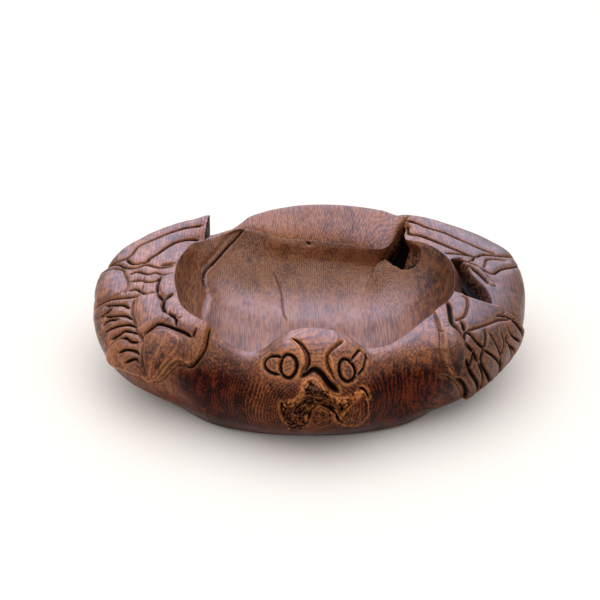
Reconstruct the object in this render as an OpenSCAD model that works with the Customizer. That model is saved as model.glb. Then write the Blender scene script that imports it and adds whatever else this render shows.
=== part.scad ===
// Carved wooden bowl in the shape of a bird. The head looks out at the front (-Y),
// the wings sweep round the rim to the back and the tail is the back lip (+Y).
// The origin is the middle of the foot on the table, +Z is up, and all lengths are mm.
//
// The bowl is carved round a centre, so its shape is given by sections: each table below
// says how one line of the section runs round the bowl. Angles are in degrees, counted
// from +X (0) over the back (90) and the left wing (180) to the head (270).

/* [Overall] */
// Length across the two wings
bowl_length = 304; // [240:2:360]
// Height from the table to the top of the head
bowl_height = 84; // [70:1:100]

/* [Basin] */
// Height of the basin floor above the table
floor_height = 22; // [16:1:28]
// Swell of the carved rim between its inner and outer edges
rim_crown = 3; // [0:0.5:5]

/* [Foot] */
// Diameter of the round foot
foot_d = 84; // [60:2:120]
// Height of the foot below the bowl
foot_h = 3; // [2:0.5:5]

/* [Resolution] */
// Angle between neighbouring sections, rounded so that every region starts on one
section_step = 4; // [2, 4]

/* [Hidden] */

dark_wood = "#4a2413";
mid_wood = "#6e4030";
pale_wood = "#9a7468";

nominal_length = 304;
nominal_height = 84;
plan_scale = bowl_length / nominal_length;
height_scale = (bowl_height - foot_h) / (nominal_height - foot_h);
floor_z = foot_h + (floor_height - foot_h) * height_scale;

// Where the carved regions meet, as the angle of the seam between them.
tail_from = 51;
left_tip = 133;
left_covert_seam = 168;
left_leading_seam = 224;
head_from = 248;
head_to = 292;
right_leading_seam = 324;
right_covert_seam = 376;

// Inner edge of the rim: [angle, radius] and [angle, height].
rim_r = [[0, 101], [14, 104], [24, 103], [33, 100], [41, 94], [44, 97], [48, 107], [51, 111],
         [52, 101], [53, 92], [55, 80], [58, 76], [62, 74], [75, 73], [95, 75], [105, 78],
         [112, 84], [118, 93], [124, 101], [133, 102], [142, 102], [150, 100], [164, 97], [175, 94], [190, 92],
         [205, 93], [218, 94], [227, 94], [240, 93], [252, 88], [262, 84], [278, 84],
         [290, 88], [303, 92], [315, 93], [330, 95], [345, 99]];
rim_z = [[0, 72], [33, 72], [42, 71], [51, 70], [53, 67], [55, 65], [60, 64], [90, 64],
         [106, 65], [113, 68], [119, 70], [123, 67], [128, 66], [133, 67], [142, 70], [164, 71],
         [200, 71], [215, 73], [226, 75], [233, 69], [242, 65], [248, 66], [256, 76],
         [263, 82], [270, 84], [279, 82], [287, 76], [295, 67], [303, 66], [312, 69],
         [320, 72], [340, 72]];
// Outer edge of the top face.
edge_r = [[0, 148], [10, 153], [20, 156], [28, 148], [39, 133], [50, 121], [54, 119],
          [60, 117], [70, 114], [90, 110], [105, 107], [114, 105], [120, 105], [126, 108],
          [132.9, 110], [133.1, 118], [138, 121], [144, 130], [150, 140], [158, 148],
          [168, 150], [180, 147], [190, 141], [200, 132], [212, 114], [222, 106], [230, 104],
          [240, 102], [252, 102], [270, 106], [288, 103], [300, 103], [312, 107], [320, 113],
          [330, 124], [342, 137], [352, 144]];
edge_z = [[0, 56], [10, 60], [20, 63], [30, 68], [39, 72], [48, 75], [53, 74], [56, 72],
          [62, 74], [90, 75], [105, 74], [113, 73], [119, 70], [124, 63], [132.9, 62],
          [133.1, 75], [140, 74], [146, 71], [152, 67], [158, 64], [168, 59], [180, 55],
          [190, 53], [200, 54], [212, 62], [222, 66], [230, 64], [240, 59], [252, 66],
          [262, 76], [278, 76], [288, 68], [298, 59], [308, 62], [318, 65], [330, 60],
          [345, 55]];
// Widest line of the side.
side_r = [[0, 151], [10, 155], [20, 157], [28, 150], [39, 137], [50, 126], [62, 121],
          [90, 116], [110, 114], [120, 114], [132.9, 117], [133.1, 123], [144, 136], [150, 143],
          [158, 149], [168, 152], [180, 151], [190, 148], [200, 143], [212, 129], [222, 119],
          [230, 116], [240, 112], [255, 113], [270, 117], [285, 114], [300, 111], [312, 116],
          [322, 122], [332, 132], [342, 141], [352, 148]];
side_z = [[0, 46], [20, 54], [39, 60], [60, 56], [90, 55], [120, 52], [133, 55], [144, 59],
          [158, 54], [168, 49], [180, 45], [190, 42], [200, 39], [212, 42], [222, 46],
          [240, 42], [270, 46], [300, 42], [318, 46], [330, 40], [345, 40]];
// Plan outline of the basin below the rim, as a radius.
bowl_r = [[0, 101], [20, 103], [40, 96], [60, 82], [78, 76], [95, 76], [112, 84], [128, 96],
          [142, 101], [164, 97], [190, 92], [227, 94], [252, 88], [262, 84], [278, 84],
          [290, 88], [315, 93], [345, 99]];
// Outline of the flat underside.
base_r = [[0, 106], [45, 100], [90, 92], [135, 100], [180, 106], [205, 104], [227, 100],
          [250, 92], [270, 89], [290, 92], [313, 100], [335, 104]];
// How far a section leans round the bowl between the rim and the outer edge.
seam_lean = [[112, 0], [128, 10], [138, 10], [154, 0], [300, 0], [324, 8], [345, 0]];
// How far the rim leans over the slot between the tail and the right wing tip.
slot_lean = [[44, 0], [51, 0], [52, -2.2], [53, -5.2], [55, -8], [58, -5], [62, -1], [66, 0]];
// Between the first and last angle the tail flows into the basin without an edge.
soft_rim = [[53, 0], [60, 1], [116, 1], [121, 0]];

// Stations along a section. The outer line runs rim 0, crown 1, edge 2, side 3, turn 4, base 5.
outer_end = 4.2;
lean_end = 2;
// How far beside the left wing tip its section is read.
tip_side = 0.1;
outer_stations = [0, 0.33, 0.67, 1, 1.5, 2, 2.4, 2.8, 3.2, 3.7, outer_end];
hull_stations = [4.4, 4.6, 4.8, 5];
// The basin line runs from its centre 0 to the rim 4.
basin_stations = [0.35, 0.7, 1, 1.4, 1.8, 2.2, 2.6, 3, 3.33, 3.67];

function wrap(a) = a - 360 * floor(a / 360);

// Row i of a table that goes on round the circle.
function turn(table, i) =
    let (n = len(table), k = floor(i / n)) [table[i - k * n][0] + 360 * k, table[i - k * n][1]];

// Slope at row i that never overshoots its neighbours.
function slope(table, i) =
    let (a = turn(table, i - 1), b = turn(table, i), c = turn(table, i + 1),
         h0 = b[0] - a[0], h1 = c[0] - b[0], d0 = (b[1] - a[1]) / h0, d1 = (c[1] - b[1]) / h1,
         w0 = 2 * h1 + h0, w1 = h1 + 2 * h0)
    d0 * d1 <= 0 ? 0 : (w0 + w1) / (w0 / d0 + w1 / d1);

// Value of a table at any angle.
function along(table, angle) =
    let (lift = wrap(angle - table[0][0]) + table[0][0],
         i = len([for (row = table) if (row[0] <= lift) 1]) - 1,
         p = turn(table, i), q = turn(table, i + 1), h = q[0] - p[0], t = (lift - p[0]) / h)
    (1 + 2 * t) * pow(1 - t, 2) * p[1] + t * pow(1 - t, 2) * h * slope(table, i)
    + t * t * (3 - 2 * t) * q[1] + t * t * (t - 1) * h * slope(table, i + 1);

// The named points of the section at an angle, as [radius, height].
function rim(a) = [along(rim_r, a), along(rim_z, a)];
function edge(a) = [along(edge_r, a), along(edge_z, a)];
function side(a) = [along(side_r, a), along(side_z, a)];
function base(a) = [along(base_r, a), foot_h];
function crown(a) =
    let (p = rim(a), q = edge(a))
    (p + q) / 2 + [0, 1 + rim_crown * min(1, max(0, (q[0] - p[0]) / 50))];
function turn_under(a) =
    let (s = side(a), b = base(a)) [b[0] + (s[0] - b[0]) * 0.72, s[1] * 0.4 + foot_h];

function outer_points(a) = [rim(a), crown(a), edge(a), side(a), turn_under(a), base(a)];
function basin_points(a) =
    let (p = rim(a), r = along(bowl_r, a), deep = p[1] - floor_height)
    [[0, floor_height], [r * 0.42, floor_height + 1.5], [r * 0.72, floor_height + deep * 0.22],
     [r * 0.92, floor_height + deep * 0.6], p];

// Point at station t of a smooth line through the points, with chord-length tangents.
// The line comes from the point before and goes on to the point after.
function gap(p, q) = sqrt(norm(q - p));
function smooth(points, t, before, after) =
    let (last = len(points) - 1, i = min(last - 1, floor(t)), u = t - i,
         p1 = points[i], p2 = points[i + 1],
         p0 = i == 0 ? before : points[i - 1],
         p3 = i == last - 1 ? after : points[i + 2],
         d1 = gap(p0, p1), d2 = gap(p1, p2), d3 = gap(p2, p3),
         m1 = ((p1 - p0) / d1 - (p2 - p0) / (d1 + d2) + (p2 - p1) / d2) * d2,
         m2 = ((p2 - p1) / d2 - (p3 - p1) / (d2 + d3) + (p3 - p2) / d3) * d2)
    (1 + 2 * u) * pow(1 - u, 2) * p1 + u * pow(1 - u, 2) * m1
    + u * u * (3 - 2 * u) * p2 + u * u * (u - 1) * m2;

// A section point placed in space at full size.
function placed(p, a) =
    [p[0] * cos(a) * plan_scale, p[0] * sin(a) * plan_scale,
     foot_h + (p[1] - foot_h) * height_scale];

// Angle at which a point of section a stands: f is 0.5 at the rim and -0.5 past the edge,
// and g is 1 at the rim.
function leaned(a, f, g) = a + along(seam_lean, a) * f + along(slot_lean, a) * g;
// The tables step at the left wing tip, so a section at the tip is read from one side of it.
function outer_at(a, t, side_of = 0) =
    let (f = 0.5 - min(1, t / lean_end), fade = min(1, (5 - t) / (5 - outer_end)),
         points = outer_points(a + side_of), plain = 2 * points[0] - points[1],
         before = plain + (basin_points(a)[3] - plain) * along(soft_rim, a),
         after = 2 * points[5] - points[4])
    placed(smooth(points, t, before, after), leaned(a, f * fade, max(0, 1 - t)));
function basin_at(a, t) =
    let (points = basin_points(a), plain = 2 * points[4] - points[3],
         after = plain + (crown(a) - plain) * along(soft_rim, a),
         before = 2 * points[0] - points[1])
    placed(smooth(points, t, before, after), leaned(a, 0.5 * t / 4, pow(t / 4, 4)));

// Line inside the wood where the bowl ends and the carved rim begins.
seat_steps = len(outer_stations) - 1;
function seat_line(a) =
    let (top = outer_at(a, 0), low = outer_at(a, outer_end))
    [for (i = [0:seat_steps]) top + (low - top) * i / seat_steps];

// Two triangles for the cell between columns i, j and rows k, l of a grid m rows high.
function cell(i, j, k, l, m) =
    [[i * m + k, i * m + l, j * m + l], [i * m + k, j * m + l, j * m + k]];

// One region of the carved rim, from angle a0 to a1.
module rim_region(a0, a1) {
    columns = round((a1 - a0) / section_step);
    n = seat_steps;
    m = 2 * n;
    points = [for (i = [0:columns])
        let (a = a0 + i * (a1 - a0) / columns, seat = seat_line(a),
             side_of = i == 0 ? tip_side : i == columns ? -tip_side : 0)
        each concat([for (t = outer_stations) outer_at(a, t, side_of)],
                    [for (k = [n - 1:-1:1]) seat[k]])];
    skin = [for (i = [0:columns - 1], k = [0:m - 1]) each cell(i, i + 1, k, (k + 1) % m, m)];
    // Each end is closed by triangles between the outer line and the seat line.
    strip = concat([[0, m - 1, 1]],
                   [for (k = [1:n - 2]) each [[k, m - k, m - k - 1], [k, m - k - 1, k + 1]]],
                   [[n - 1, n + 1, n]]);
    far = columns * m;
    first_end = strip;
    last_end = [for (f = strip) [f[2] + far, f[1] + far, f[0] + far]];
    polyhedron(points = points, faces = concat(skin, first_end, last_end), convexity = 8);
}

// The bowl itself: basin, seat under the carved rim, and the hull down to the foot.
module bowl_body() {
    // The seams are sections of their own, so that the regions sit on them exactly.
    seams = [tail_from, left_tip, left_covert_seam, left_leading_seam, head_from, head_to,
             right_leading_seam, right_covert_seam, tail_from + 360];
    angles = [for (i = [0:len(seams) - 2])
        let (n = round((seams[i + 1] - seams[i]) / section_step))
        each [for (k = [0:n - 1]) seams[i] + k * (seams[i + 1] - seams[i]) / n]];
    columns = len(angles);
    m = len(basin_stations) + seat_steps + 1 + len(hull_stations);
    rings = [for (a = angles)
        each concat([for (t = basin_stations) basin_at(a, t)], seat_line(a),
                    [for (t = hull_stations) outer_at(a, t)])];
    top = columns * m;
    points = concat(rings, [[0, 0, floor_z], [0, 0, foot_h]]);
    skin = [for (i = [0:columns - 1], k = [0:m - 2]) each cell(i, (i + 1) % columns, k, k + 1, m)];
    dish = [for (i = [0:columns - 1]) [top, i * m, ((i + 1) % columns) * m]];
    under = [for (i = [0:columns - 1]) [top + 1, ((i + 1) % columns) * m + m - 1, i * m + m - 1]];
    polyhedron(points = points, faces = concat(skin, dish, under), convexity = 10);
}
module basin() color(mid_wood) bowl_body();
module foot() color(dark_wood) cylinder(d = foot_d, h = foot_h, $fn = 96);
module head() color(pale_wood) rim_region(head_from, head_to);
module left_breast() color(dark_wood) rim_region(left_leading_seam, head_from);
module right_breast() color(dark_wood) rim_region(head_to, right_leading_seam);
module left_coverts() color(pale_wood) rim_region(left_covert_seam, left_leading_seam);
module right_coverts() color(pale_wood) rim_region(right_leading_seam, right_covert_seam);
module left_primaries() color(mid_wood) rim_region(left_tip, left_covert_seam);
module right_primaries() color(mid_wood) rim_region(right_covert_seam, tail_from + 360);
module tail() color(mid_wood) rim_region(tail_from, left_tip);

basin();
foot();
head();
left_breast();
right_breast();
left_coverts();
right_coverts();
left_primaries();
right_primaries();
tail();
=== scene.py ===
"""A low fruit bowl carved from one block of dark hardwood in the shape of a bird.

The head looks out at the front (-Y), the wings sweep round the rim to the back and the tail is
the back lip. The bowl is described by sections that run from the rim over the outside to the
base: a place on it is an angle round the bowl in degrees and a station along the section.
Lengths in the tables and strokes are millimetres, and meshes are in metres.
"""
from __future__ import annotations

import logging
import math
from dataclasses import dataclass, field
from enum import Enum
from typing import Callable

import bpy
import numpy as np
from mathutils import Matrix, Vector

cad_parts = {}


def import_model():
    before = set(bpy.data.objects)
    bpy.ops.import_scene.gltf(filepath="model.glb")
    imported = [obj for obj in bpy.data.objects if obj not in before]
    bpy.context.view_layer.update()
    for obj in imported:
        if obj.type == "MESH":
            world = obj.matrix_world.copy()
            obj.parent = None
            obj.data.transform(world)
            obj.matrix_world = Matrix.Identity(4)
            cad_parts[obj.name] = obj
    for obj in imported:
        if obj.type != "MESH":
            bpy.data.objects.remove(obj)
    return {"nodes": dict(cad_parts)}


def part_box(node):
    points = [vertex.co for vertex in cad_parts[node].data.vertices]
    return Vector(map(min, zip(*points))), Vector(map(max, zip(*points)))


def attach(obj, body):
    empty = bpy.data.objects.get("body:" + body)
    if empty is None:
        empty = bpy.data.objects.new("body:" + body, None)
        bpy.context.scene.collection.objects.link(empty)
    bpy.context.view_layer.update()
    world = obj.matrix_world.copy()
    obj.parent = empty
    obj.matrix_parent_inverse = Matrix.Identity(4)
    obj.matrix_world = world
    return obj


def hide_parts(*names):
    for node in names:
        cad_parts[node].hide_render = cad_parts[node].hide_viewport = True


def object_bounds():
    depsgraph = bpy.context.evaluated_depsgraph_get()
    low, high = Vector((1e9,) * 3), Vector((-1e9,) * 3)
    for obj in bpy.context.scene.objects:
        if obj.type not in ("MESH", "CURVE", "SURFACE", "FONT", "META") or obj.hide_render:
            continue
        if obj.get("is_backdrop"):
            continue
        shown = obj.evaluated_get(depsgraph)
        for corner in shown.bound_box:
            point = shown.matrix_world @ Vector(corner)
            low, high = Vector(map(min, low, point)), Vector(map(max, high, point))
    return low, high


LOG = logging.getLogger("bowl")
MM = 0.001
Rows = tuple[tuple[float, float], ...]
Path = tuple[tuple[float, float], ...]
# A surface turns section angles and stations into places.
Surface = Callable[[np.ndarray, np.ndarray], np.ndarray]
# What a node's input can be given.
Term = float | str | tuple[float, ...] | bpy.types.ID | bpy.types.NodeSocket

# Stations along the outside of a section: the side lies at 3 and the turn under it at 4, and
# the carved rim meets the hull at the seam.
RIM, CROWN, EDGE, SEAM, BASE = 0.0, 1.0, 2.0, 4.2, 5.0
# The inside runs from its centre at station 0 to the rim.
BASIN_RIM = 4.0
# Angles of the wing tips. A section is read this far beside the left one.
LEFT_TIP = 133.0
RIGHT_TIP = 411.0
TIP_GAP = 0.1


# ---------------------------------------------------------------- the form of the bowl

def ring_value(rows: Rows, angle: np.ndarray) -> np.ndarray:
    """Reads a table that goes round the bowl, with a monotone cubic between its rows.

    Args:
        rows: (angle, value) pairs in rising angle.
        angle: angles in degrees, of any size.

    Returns:
        The value at each angle.
    """
    x = np.array([row[0] for row in rows], float)
    y = np.array([row[1] for row in rows], float)
    x = np.concatenate([x[-2:] - 360.0, x, x[:2] + 360.0])
    y = np.concatenate([y[-2:], y, y[:2]])
    h = np.diff(x)
    d = np.diff(y) / h
    w0, w1 = 2 * h[1:] + h[:-1], h[1:] + 2 * h[:-1]
    rising = d[:-1] * d[1:] > 0
    slope = np.zeros(len(x))
    inner = slope[1:-1]
    inner[rising] = (w0 + w1)[rising] / (w0[rising] / d[:-1][rising] + w1[rising] / d[1:][rising])
    a = np.mod(angle - x[1], 360.0) + x[1]
    i = np.clip(np.searchsorted(x, a, side="right") - 1, 1, len(x) - 3)
    t = (a - x[i]) / h[i]
    return ((1 + 2 * t) * (1 - t) ** 2 * y[i] + t * (1 - t) ** 2 * h[i] * slope[i]
            + t * t * (3 - 2 * t) * y[i + 1] + t * t * (t - 1) * h[i] * slope[i + 1])


def smooth_line(points: np.ndarray, t: np.ndarray, before: np.ndarray | None = None,
                after: np.ndarray | None = None) -> np.ndarray:
    """Places a point on a smooth line through control points.

    Args:
        points: (N, K, 2) control points, one line for each of N places.
        t: (N,) stations from 0 to K - 1.
        before: (N, 1, 2) point the line comes from, or none to start straight.
        after: (N, 1, 2) point the line goes on to, or none to end straight.

    Returns:
        (N, 2) points.
    """
    before = 2 * points[:, :1] - points[:, 1:2] if before is None else before
    after = 2 * points[:, -1:] - points[:, -2:-1] if after is None else after
    line = np.concatenate([before, points, after], axis=1)
    i = np.clip(np.floor(t).astype(int), 0, points.shape[1] - 2)
    u = (t - i)[:, None]
    n = np.arange(len(t))
    p0, p1, p2, p3 = (line[n, i + k] for k in range(4))
    d1, d2, d3 = (np.sqrt(np.maximum(np.linalg.norm(b - a, axis=1), 1e-6))[:, None]
                  for a, b in ((p0, p1), (p1, p2), (p2, p3)))
    m1 = ((p1 - p0) / d1 - (p2 - p0) / (d1 + d2) + (p2 - p1) / d2) * d2
    m2 = ((p2 - p1) / d2 - (p3 - p1) / (d2 + d3) + (p3 - p2) / d3) * d2
    return ((1 + 2 * u) * (1 - u) ** 2 * p1 + u * (1 - u) ** 2 * m1
            + u * u * (3 - 2 * u) * p2 + u * u * (u - 1) * m2)


def smoothstep(low: float, high: float, x: np.ndarray) -> np.ndarray:
    """Rises smoothly from 0 at low to 1 at high."""
    t = np.clip((x - low) / (high - low), 0.0, 1.0)
    return t * t * (3 - 2 * t)


@dataclass
class BowlForm:
    """The plain form of the bowl, before any feather is cut. Lengths are mm."""

    rim_r: Rows = ((0, 101), (14, 104), (24, 103), (33, 100), (41, 94), (44, 97), (48, 107),
                   (51, 111), (52, 101), (53, 92), (55, 80), (58, 76), (62, 74), (75, 73),
                   (95, 75), (105, 78),
                   (112, 84), (118, 93), (124, 101), (133, 102), (142, 102), (150, 100),
                   (164, 97), (175, 94), (190, 92), (205, 93), (218, 94), (227, 94), (240, 93),
                   (252, 88), (262, 84), (278, 84), (290, 88), (303, 92), (315, 93), (330, 95),
                   (345, 99))
    rim_z: Rows = ((0, 72), (33, 72), (42, 71), (51, 70), (53, 67), (55, 65), (60, 64),
                   (90, 64), (106, 65), (113, 68), (119, 70), (123, 67), (128, 66), (133, 67), (142, 70),
                   (164, 71), (200, 71), (215, 73), (226, 75), (233, 69), (242, 65), (248, 66),
                   (256, 76), (263, 82), (270, 84), (279, 82), (287, 76), (295, 67), (303, 66),
                   (312, 69), (320, 72), (340, 72))
    edge_r: Rows = ((0, 148), (10, 153), (20, 156), (28, 148), (39, 133), (50, 121), (54, 119),
                    (60, 117), (70, 114), (90, 110), (105, 107), (114, 105), (120, 105),
                    (126, 108), (132.9, 110), (133.1, 118), (138, 121), (144, 130), (150, 140),
                    (158, 148), (168, 150), (180, 147), (190, 141), (200, 132), (212, 114),
                    (222, 106), (230, 104), (240, 102), (252, 102), (270, 106), (288, 103),
                    (300, 103), (312, 107), (320, 113), (330, 124), (342, 137), (352, 144))
    edge_z: Rows = ((0, 56), (10, 60), (20, 63), (30, 68), (39, 72), (48, 75), (53, 74),
                    (56, 72), (62, 74), (90, 75), (105, 74), (113, 73), (119, 70), (124, 63),
                    (132.9, 62), (133.1, 75), (140, 74), (146, 71), (152, 67), (158, 64),
                    (168, 59), (180, 55), (190, 53), (200, 54), (212, 62), (222, 66), (230, 64),
                    (240, 59), (252, 66), (262, 76), (278, 76), (288, 68), (298, 59), (308, 62),
                    (318, 65), (330, 60), (345, 55))
    side_r: Rows = ((0, 151), (10, 155), (20, 157), (28, 150), (39, 137), (50, 126), (62, 121),
                    (90, 116), (110, 114), (120, 114), (132.9, 117), (133.1, 123), (144, 136),
                    (150, 143), (158, 149), (168, 152), (180, 151), (190, 148), (200, 143),
                    (212, 129), (222, 119), (230, 116), (240, 112), (255, 113), (270, 117),
                    (285, 114), (300, 111), (312, 116), (322, 122), (332, 132), (342, 141),
                    (352, 148))
    side_z: Rows = ((0, 46), (20, 54), (39, 60), (60, 56), (90, 55), (120, 52), (133, 55),
                    (144, 59), (158, 54), (168, 49), (180, 45), (190, 42), (200, 39), (212, 42),
                    (222, 46), (240, 42), (270, 46), (300, 42), (318, 46), (330, 40), (345, 40))
    bowl_r: Rows = ((0, 101), (20, 103), (40, 96), (60, 82), (78, 76), (95, 76), (112, 84),
                    (128, 96), (142, 101), (164, 97), (190, 92), (227, 94), (252, 88), (262, 84),
                    (278, 84), (290, 88), (315, 93), (345, 99))
    base_r: Rows = ((0, 106), (45, 100), (90, 92), (135, 100), (180, 106), (205, 104),
                    (227, 100), (250, 92), (270, 89), (290, 92), (313, 100), (335, 104))
    seam_lean: Rows = ((112, 0), (128, 10), (138, 10), (154, 0), (300, 0), (324, 8), (345, 0))
    slot_lean: Rows = ((44, 0), (51, 0), (52, -2.2), (53, -5.2), (55, -8), (58, -5), (62, -1),
                       (66, 0))
    soft_rim: Rows = ((53, 0), (60, 1), (116, 1), (121, 0))
    floor_height: float = 22.0
    foot_height: float = 3.0
    rim_crown: float = 3.0
    table_length: float = 304.25
    table_height: float = 83.87
    plan_scale: float = 1.0
    height_scale: float = 1.0

    def fit(self, low: list[float], high: list[float]) -> None:
        """Scales the form to the frame's own length and height.

        Args:
            low: the frame's lowest corner in metres.
            high: the frame's highest corner in metres.
        """
        self.plan_scale = (high[0] - low[0]) / MM / self.table_length
        self.height_scale = ((high[2] / MM - self.foot_height)
                             / (self.table_height - self.foot_height))

    def read_angle(self, u: np.ndarray, tip_side: float) -> np.ndarray:
        """Angle at which the tables are read: the left tip is read from one of its sides.

        Args:
            u: section angles.
            tip_side: below or above zero for a side of the left tip, zero for none.

        Returns:
            The angles to read.
        """
        if tip_side < 0:
            return np.minimum(u, LEFT_TIP - TIP_GAP)
        if tip_side > 0:
            return np.maximum(u, LEFT_TIP + TIP_GAP)
        return u

    def outer_points(self, a: np.ndarray) -> np.ndarray:
        """The named points of the outside of each section, rim to base, as (N, 6, 2).

        Args:
            a: angles at which the tables are read.

        Returns:
            (N, 6, 2) radii and heights.
        """
        rim = np.stack([ring_value(self.rim_r, a), ring_value(self.rim_z, a)], -1)
        edge = np.stack([ring_value(self.edge_r, a), ring_value(self.edge_z, a)], -1)
        side = np.stack([ring_value(self.side_r, a), ring_value(self.side_z, a)], -1)
        base = np.stack([ring_value(self.base_r, a), np.full_like(a, self.foot_height)], -1)
        crown = (rim + edge) / 2
        crown[:, 1] += 1 + self.rim_crown * np.clip((edge[:, 0] - rim[:, 0]) / 50, 0, 1)
        turn = np.stack([base[:, 0] + (side[:, 0] - base[:, 0]) * 0.72,
                         side[:, 1] * 0.4 + self.foot_height], -1)
        return np.stack([rim, crown, edge, side, turn, base], 1)

    def basin_points(self, a: np.ndarray) -> np.ndarray:
        """The named points of the inside of each section, centre to rim, as (N, 5, 2).

        Args:
            a: angles at which the tables are read.

        Returns:
            (N, 5, 2) radii and heights.
        """
        rim_r, rim_z = ring_value(self.rim_r, a), ring_value(self.rim_z, a)
        r = ring_value(self.bowl_r, a)
        deep = rim_z - self.floor_height
        z0 = self.floor_height
        pairs = ((np.zeros_like(r), np.full_like(r, z0)), (r * 0.42, np.full_like(r, z0 + 1.5)),
                 (r * 0.72, z0 + deep * 0.22), (r * 0.92, z0 + deep * 0.6),
                 (rim_r, rim_z))
        return np.stack([np.stack(pair, -1) for pair in pairs], 1)

    def place(self, section: np.ndarray, angle: np.ndarray) -> np.ndarray:
        """Turns section points in mm into places in metres.

        Args:
            section: (N, 2) radii and heights.
            angle: angles round the bowl.

        Returns:
            (N, 3) places.
        """
        a = np.radians(angle)
        r = section[:, 0] * self.plan_scale
        z = self.foot_height + (section[:, 1] - self.foot_height) * self.height_scale
        return np.stack([r * np.cos(a), r * np.sin(a), z], -1) * MM

    def easing(self, u: np.ndarray) -> np.ndarray:
        """How softly the rim is rounded: 1 at the tail, where the lip flows into the basin."""
        return ring_value(self.soft_rim, u)[:, None, None]

    def outer(self, u: np.ndarray, t: np.ndarray, tip_side: float = 0.0) -> np.ndarray:
        """Places on the outside.

        Args:
            u: section angles.
            t: stations from RIM to BASE.
            tip_side: below or above zero to read the left tip from that side.

        Returns:
            (N, 3) places in metres.
        """
        share = (0.5 - np.minimum(1, t / EDGE)) * np.minimum(1, (BASE - t) / (BASE - SEAM))
        angle = u + ring_value(self.seam_lean, u) * share
        angle = angle + ring_value(self.slot_lean, u) * np.maximum(0, CROWN - t)
        points = self.outer_points(self.read_angle(u, tip_side))
        soft, wall = self.easing(u), self.basin_points(u)[:, 3:4]
        before = 2 * points[:, :1] - points[:, 1:2]
        return self.place(smooth_line(points, t, before + (wall - before) * soft), angle)

    def basin(self, u: np.ndarray, t: np.ndarray) -> np.ndarray:
        """Places on the inside, from the centre at station 0 to the rim at station 4.

        Args:
            u: section angles.
            t: stations from 0 to BASIN_RIM.

        Returns:
            (N, 3) places in metres.
        """
        angle = u + ring_value(self.seam_lean, u) * 0.125 * t
        angle = angle + ring_value(self.slot_lean, u) * (t / BASIN_RIM) ** 4
        points = self.basin_points(u)
        soft, crown = self.easing(u), self.outer_points(u)[:, 1:2]
        after = 2 * points[:, -1:] - points[:, -2:-1]
        return self.place(smooth_line(points, t, None, after + (crown - after) * soft), angle)


FORM = BowlForm()


# ---------------------------------------------------------------- carving

def mark(mesh: bpy.types.Mesh, label: str, values: np.ndarray) -> None:
    """Stores one value or one vector on each vertex.

    Args:
        mesh: the mesh.
        label: name of the attribute.
        values: (N,) values or (N, 3) vectors.
    """
    vector = np.ndim(values) == 2
    layer = mesh.attributes.get(label) or mesh.attributes.new(
        label, "FLOAT_VECTOR" if vector else "FLOAT", "POINT")
    layer.data.foreach_set("vector" if vector else "value",
                           np.asarray(values, np.float32).ravel())


class StainAndShade(Enum):
    """How dark the bottom of a cut is: partly stained wood, partly painted shadow."""

    BLACK = 1.0
    BROWN = 0.55
    FAINT = 0.25
    NONE = 0.0


@dataclass(frozen=True)
class Stroke:
    """One cut of the gouge. Its path is (angle, station) points, its sizes are mm."""

    path: Path
    width: float = 2.0
    depth: float = 1.6
    stain: StainAndShade = StainAndShade.BLACK
    step: float = 0.0
    blunt: bool = False


@dataclass(frozen=True)
class Patch:
    """An outlined face that stands proud of its neighbours, or is cut below them.

    The outline is closed, its height is positive for a raised face, and edge is the width of
    the slope at its border. Sizes are mm.
    """

    outline: Path
    height: float
    edge: float = 1.2
    dome: float = 0.0
    stain: float = 0.0


# Rough length of a degree and of a station on the rim, to measure outlines with.
MM_PER_DEGREE = 2.2
MM_PER_STATION = 20.0
# A cut runs out over this length at both ends.
TAPER_MM = 3.5


def rounded_path(points: np.ndarray, per_leg: int, closed: bool = False) -> np.ndarray:
    """Draws a smooth line through points.

    Args:
        points: (K, 2) points.
        per_leg: how many points to make between neighbours.
        closed: whether the line returns to its start.

    Returns:
        The points of the smooth line.
    """
    if closed:
        around = np.concatenate([points[-1:], points, points[:2]])
    else:
        around = np.concatenate([2 * points[:1] - points[1:2], points,
                                 2 * points[-1:] - points[-2:-1]])
    legs = len(around) - 3
    t = np.linspace(0, 1, per_leg, endpoint=False)[:, None]
    made = []
    for k in range(legs):
        p0, p1, p2, p3 = around[k:k + 4]
        made.append(0.5 * (2 * p1 + (p2 - p0) * t + (2 * p0 - 5 * p1 + 4 * p2 - p3) * t ** 2
                           + (3 * p1 - p0 - 3 * p2 + p3) * t ** 3))
    if not closed:
        made.append(points[-1:])
    return np.concatenate(made)


def border_distance(outline: np.ndarray, x: np.ndarray, y: np.ndarray) -> np.ndarray:
    """Signed distance to a closed outline, positive inside.

    Args:
        outline: (M, 2) corners of the outline.
        x: first coordinate of each place.
        y: second coordinate of each place.

    Returns:
        The distance of each place, in the outline's own unit.
    """
    best = np.full(x.shape, np.inf)
    inside = np.zeros(x.shape, bool)
    for (x0, y0), (x1, y1) in zip(outline, np.roll(outline, -1, axis=0)):
        ex, ey = x1 - x0, y1 - y0
        along = np.clip(((x - x0) * ex + (y - y0) * ey) / max(ex * ex + ey * ey, 1e-9), 0, 1)
        best = np.minimum(best, np.hypot(x - x0 - along * ex, y - y0 - along * ey))
        if y0 != y1:
            crossing = ((y0 > y) != (y1 > y)) & (x < x0 + (y - y0) / (y1 - y0) * ex)
            inside ^= crossing
    return np.where(inside, best, -best)


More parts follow.
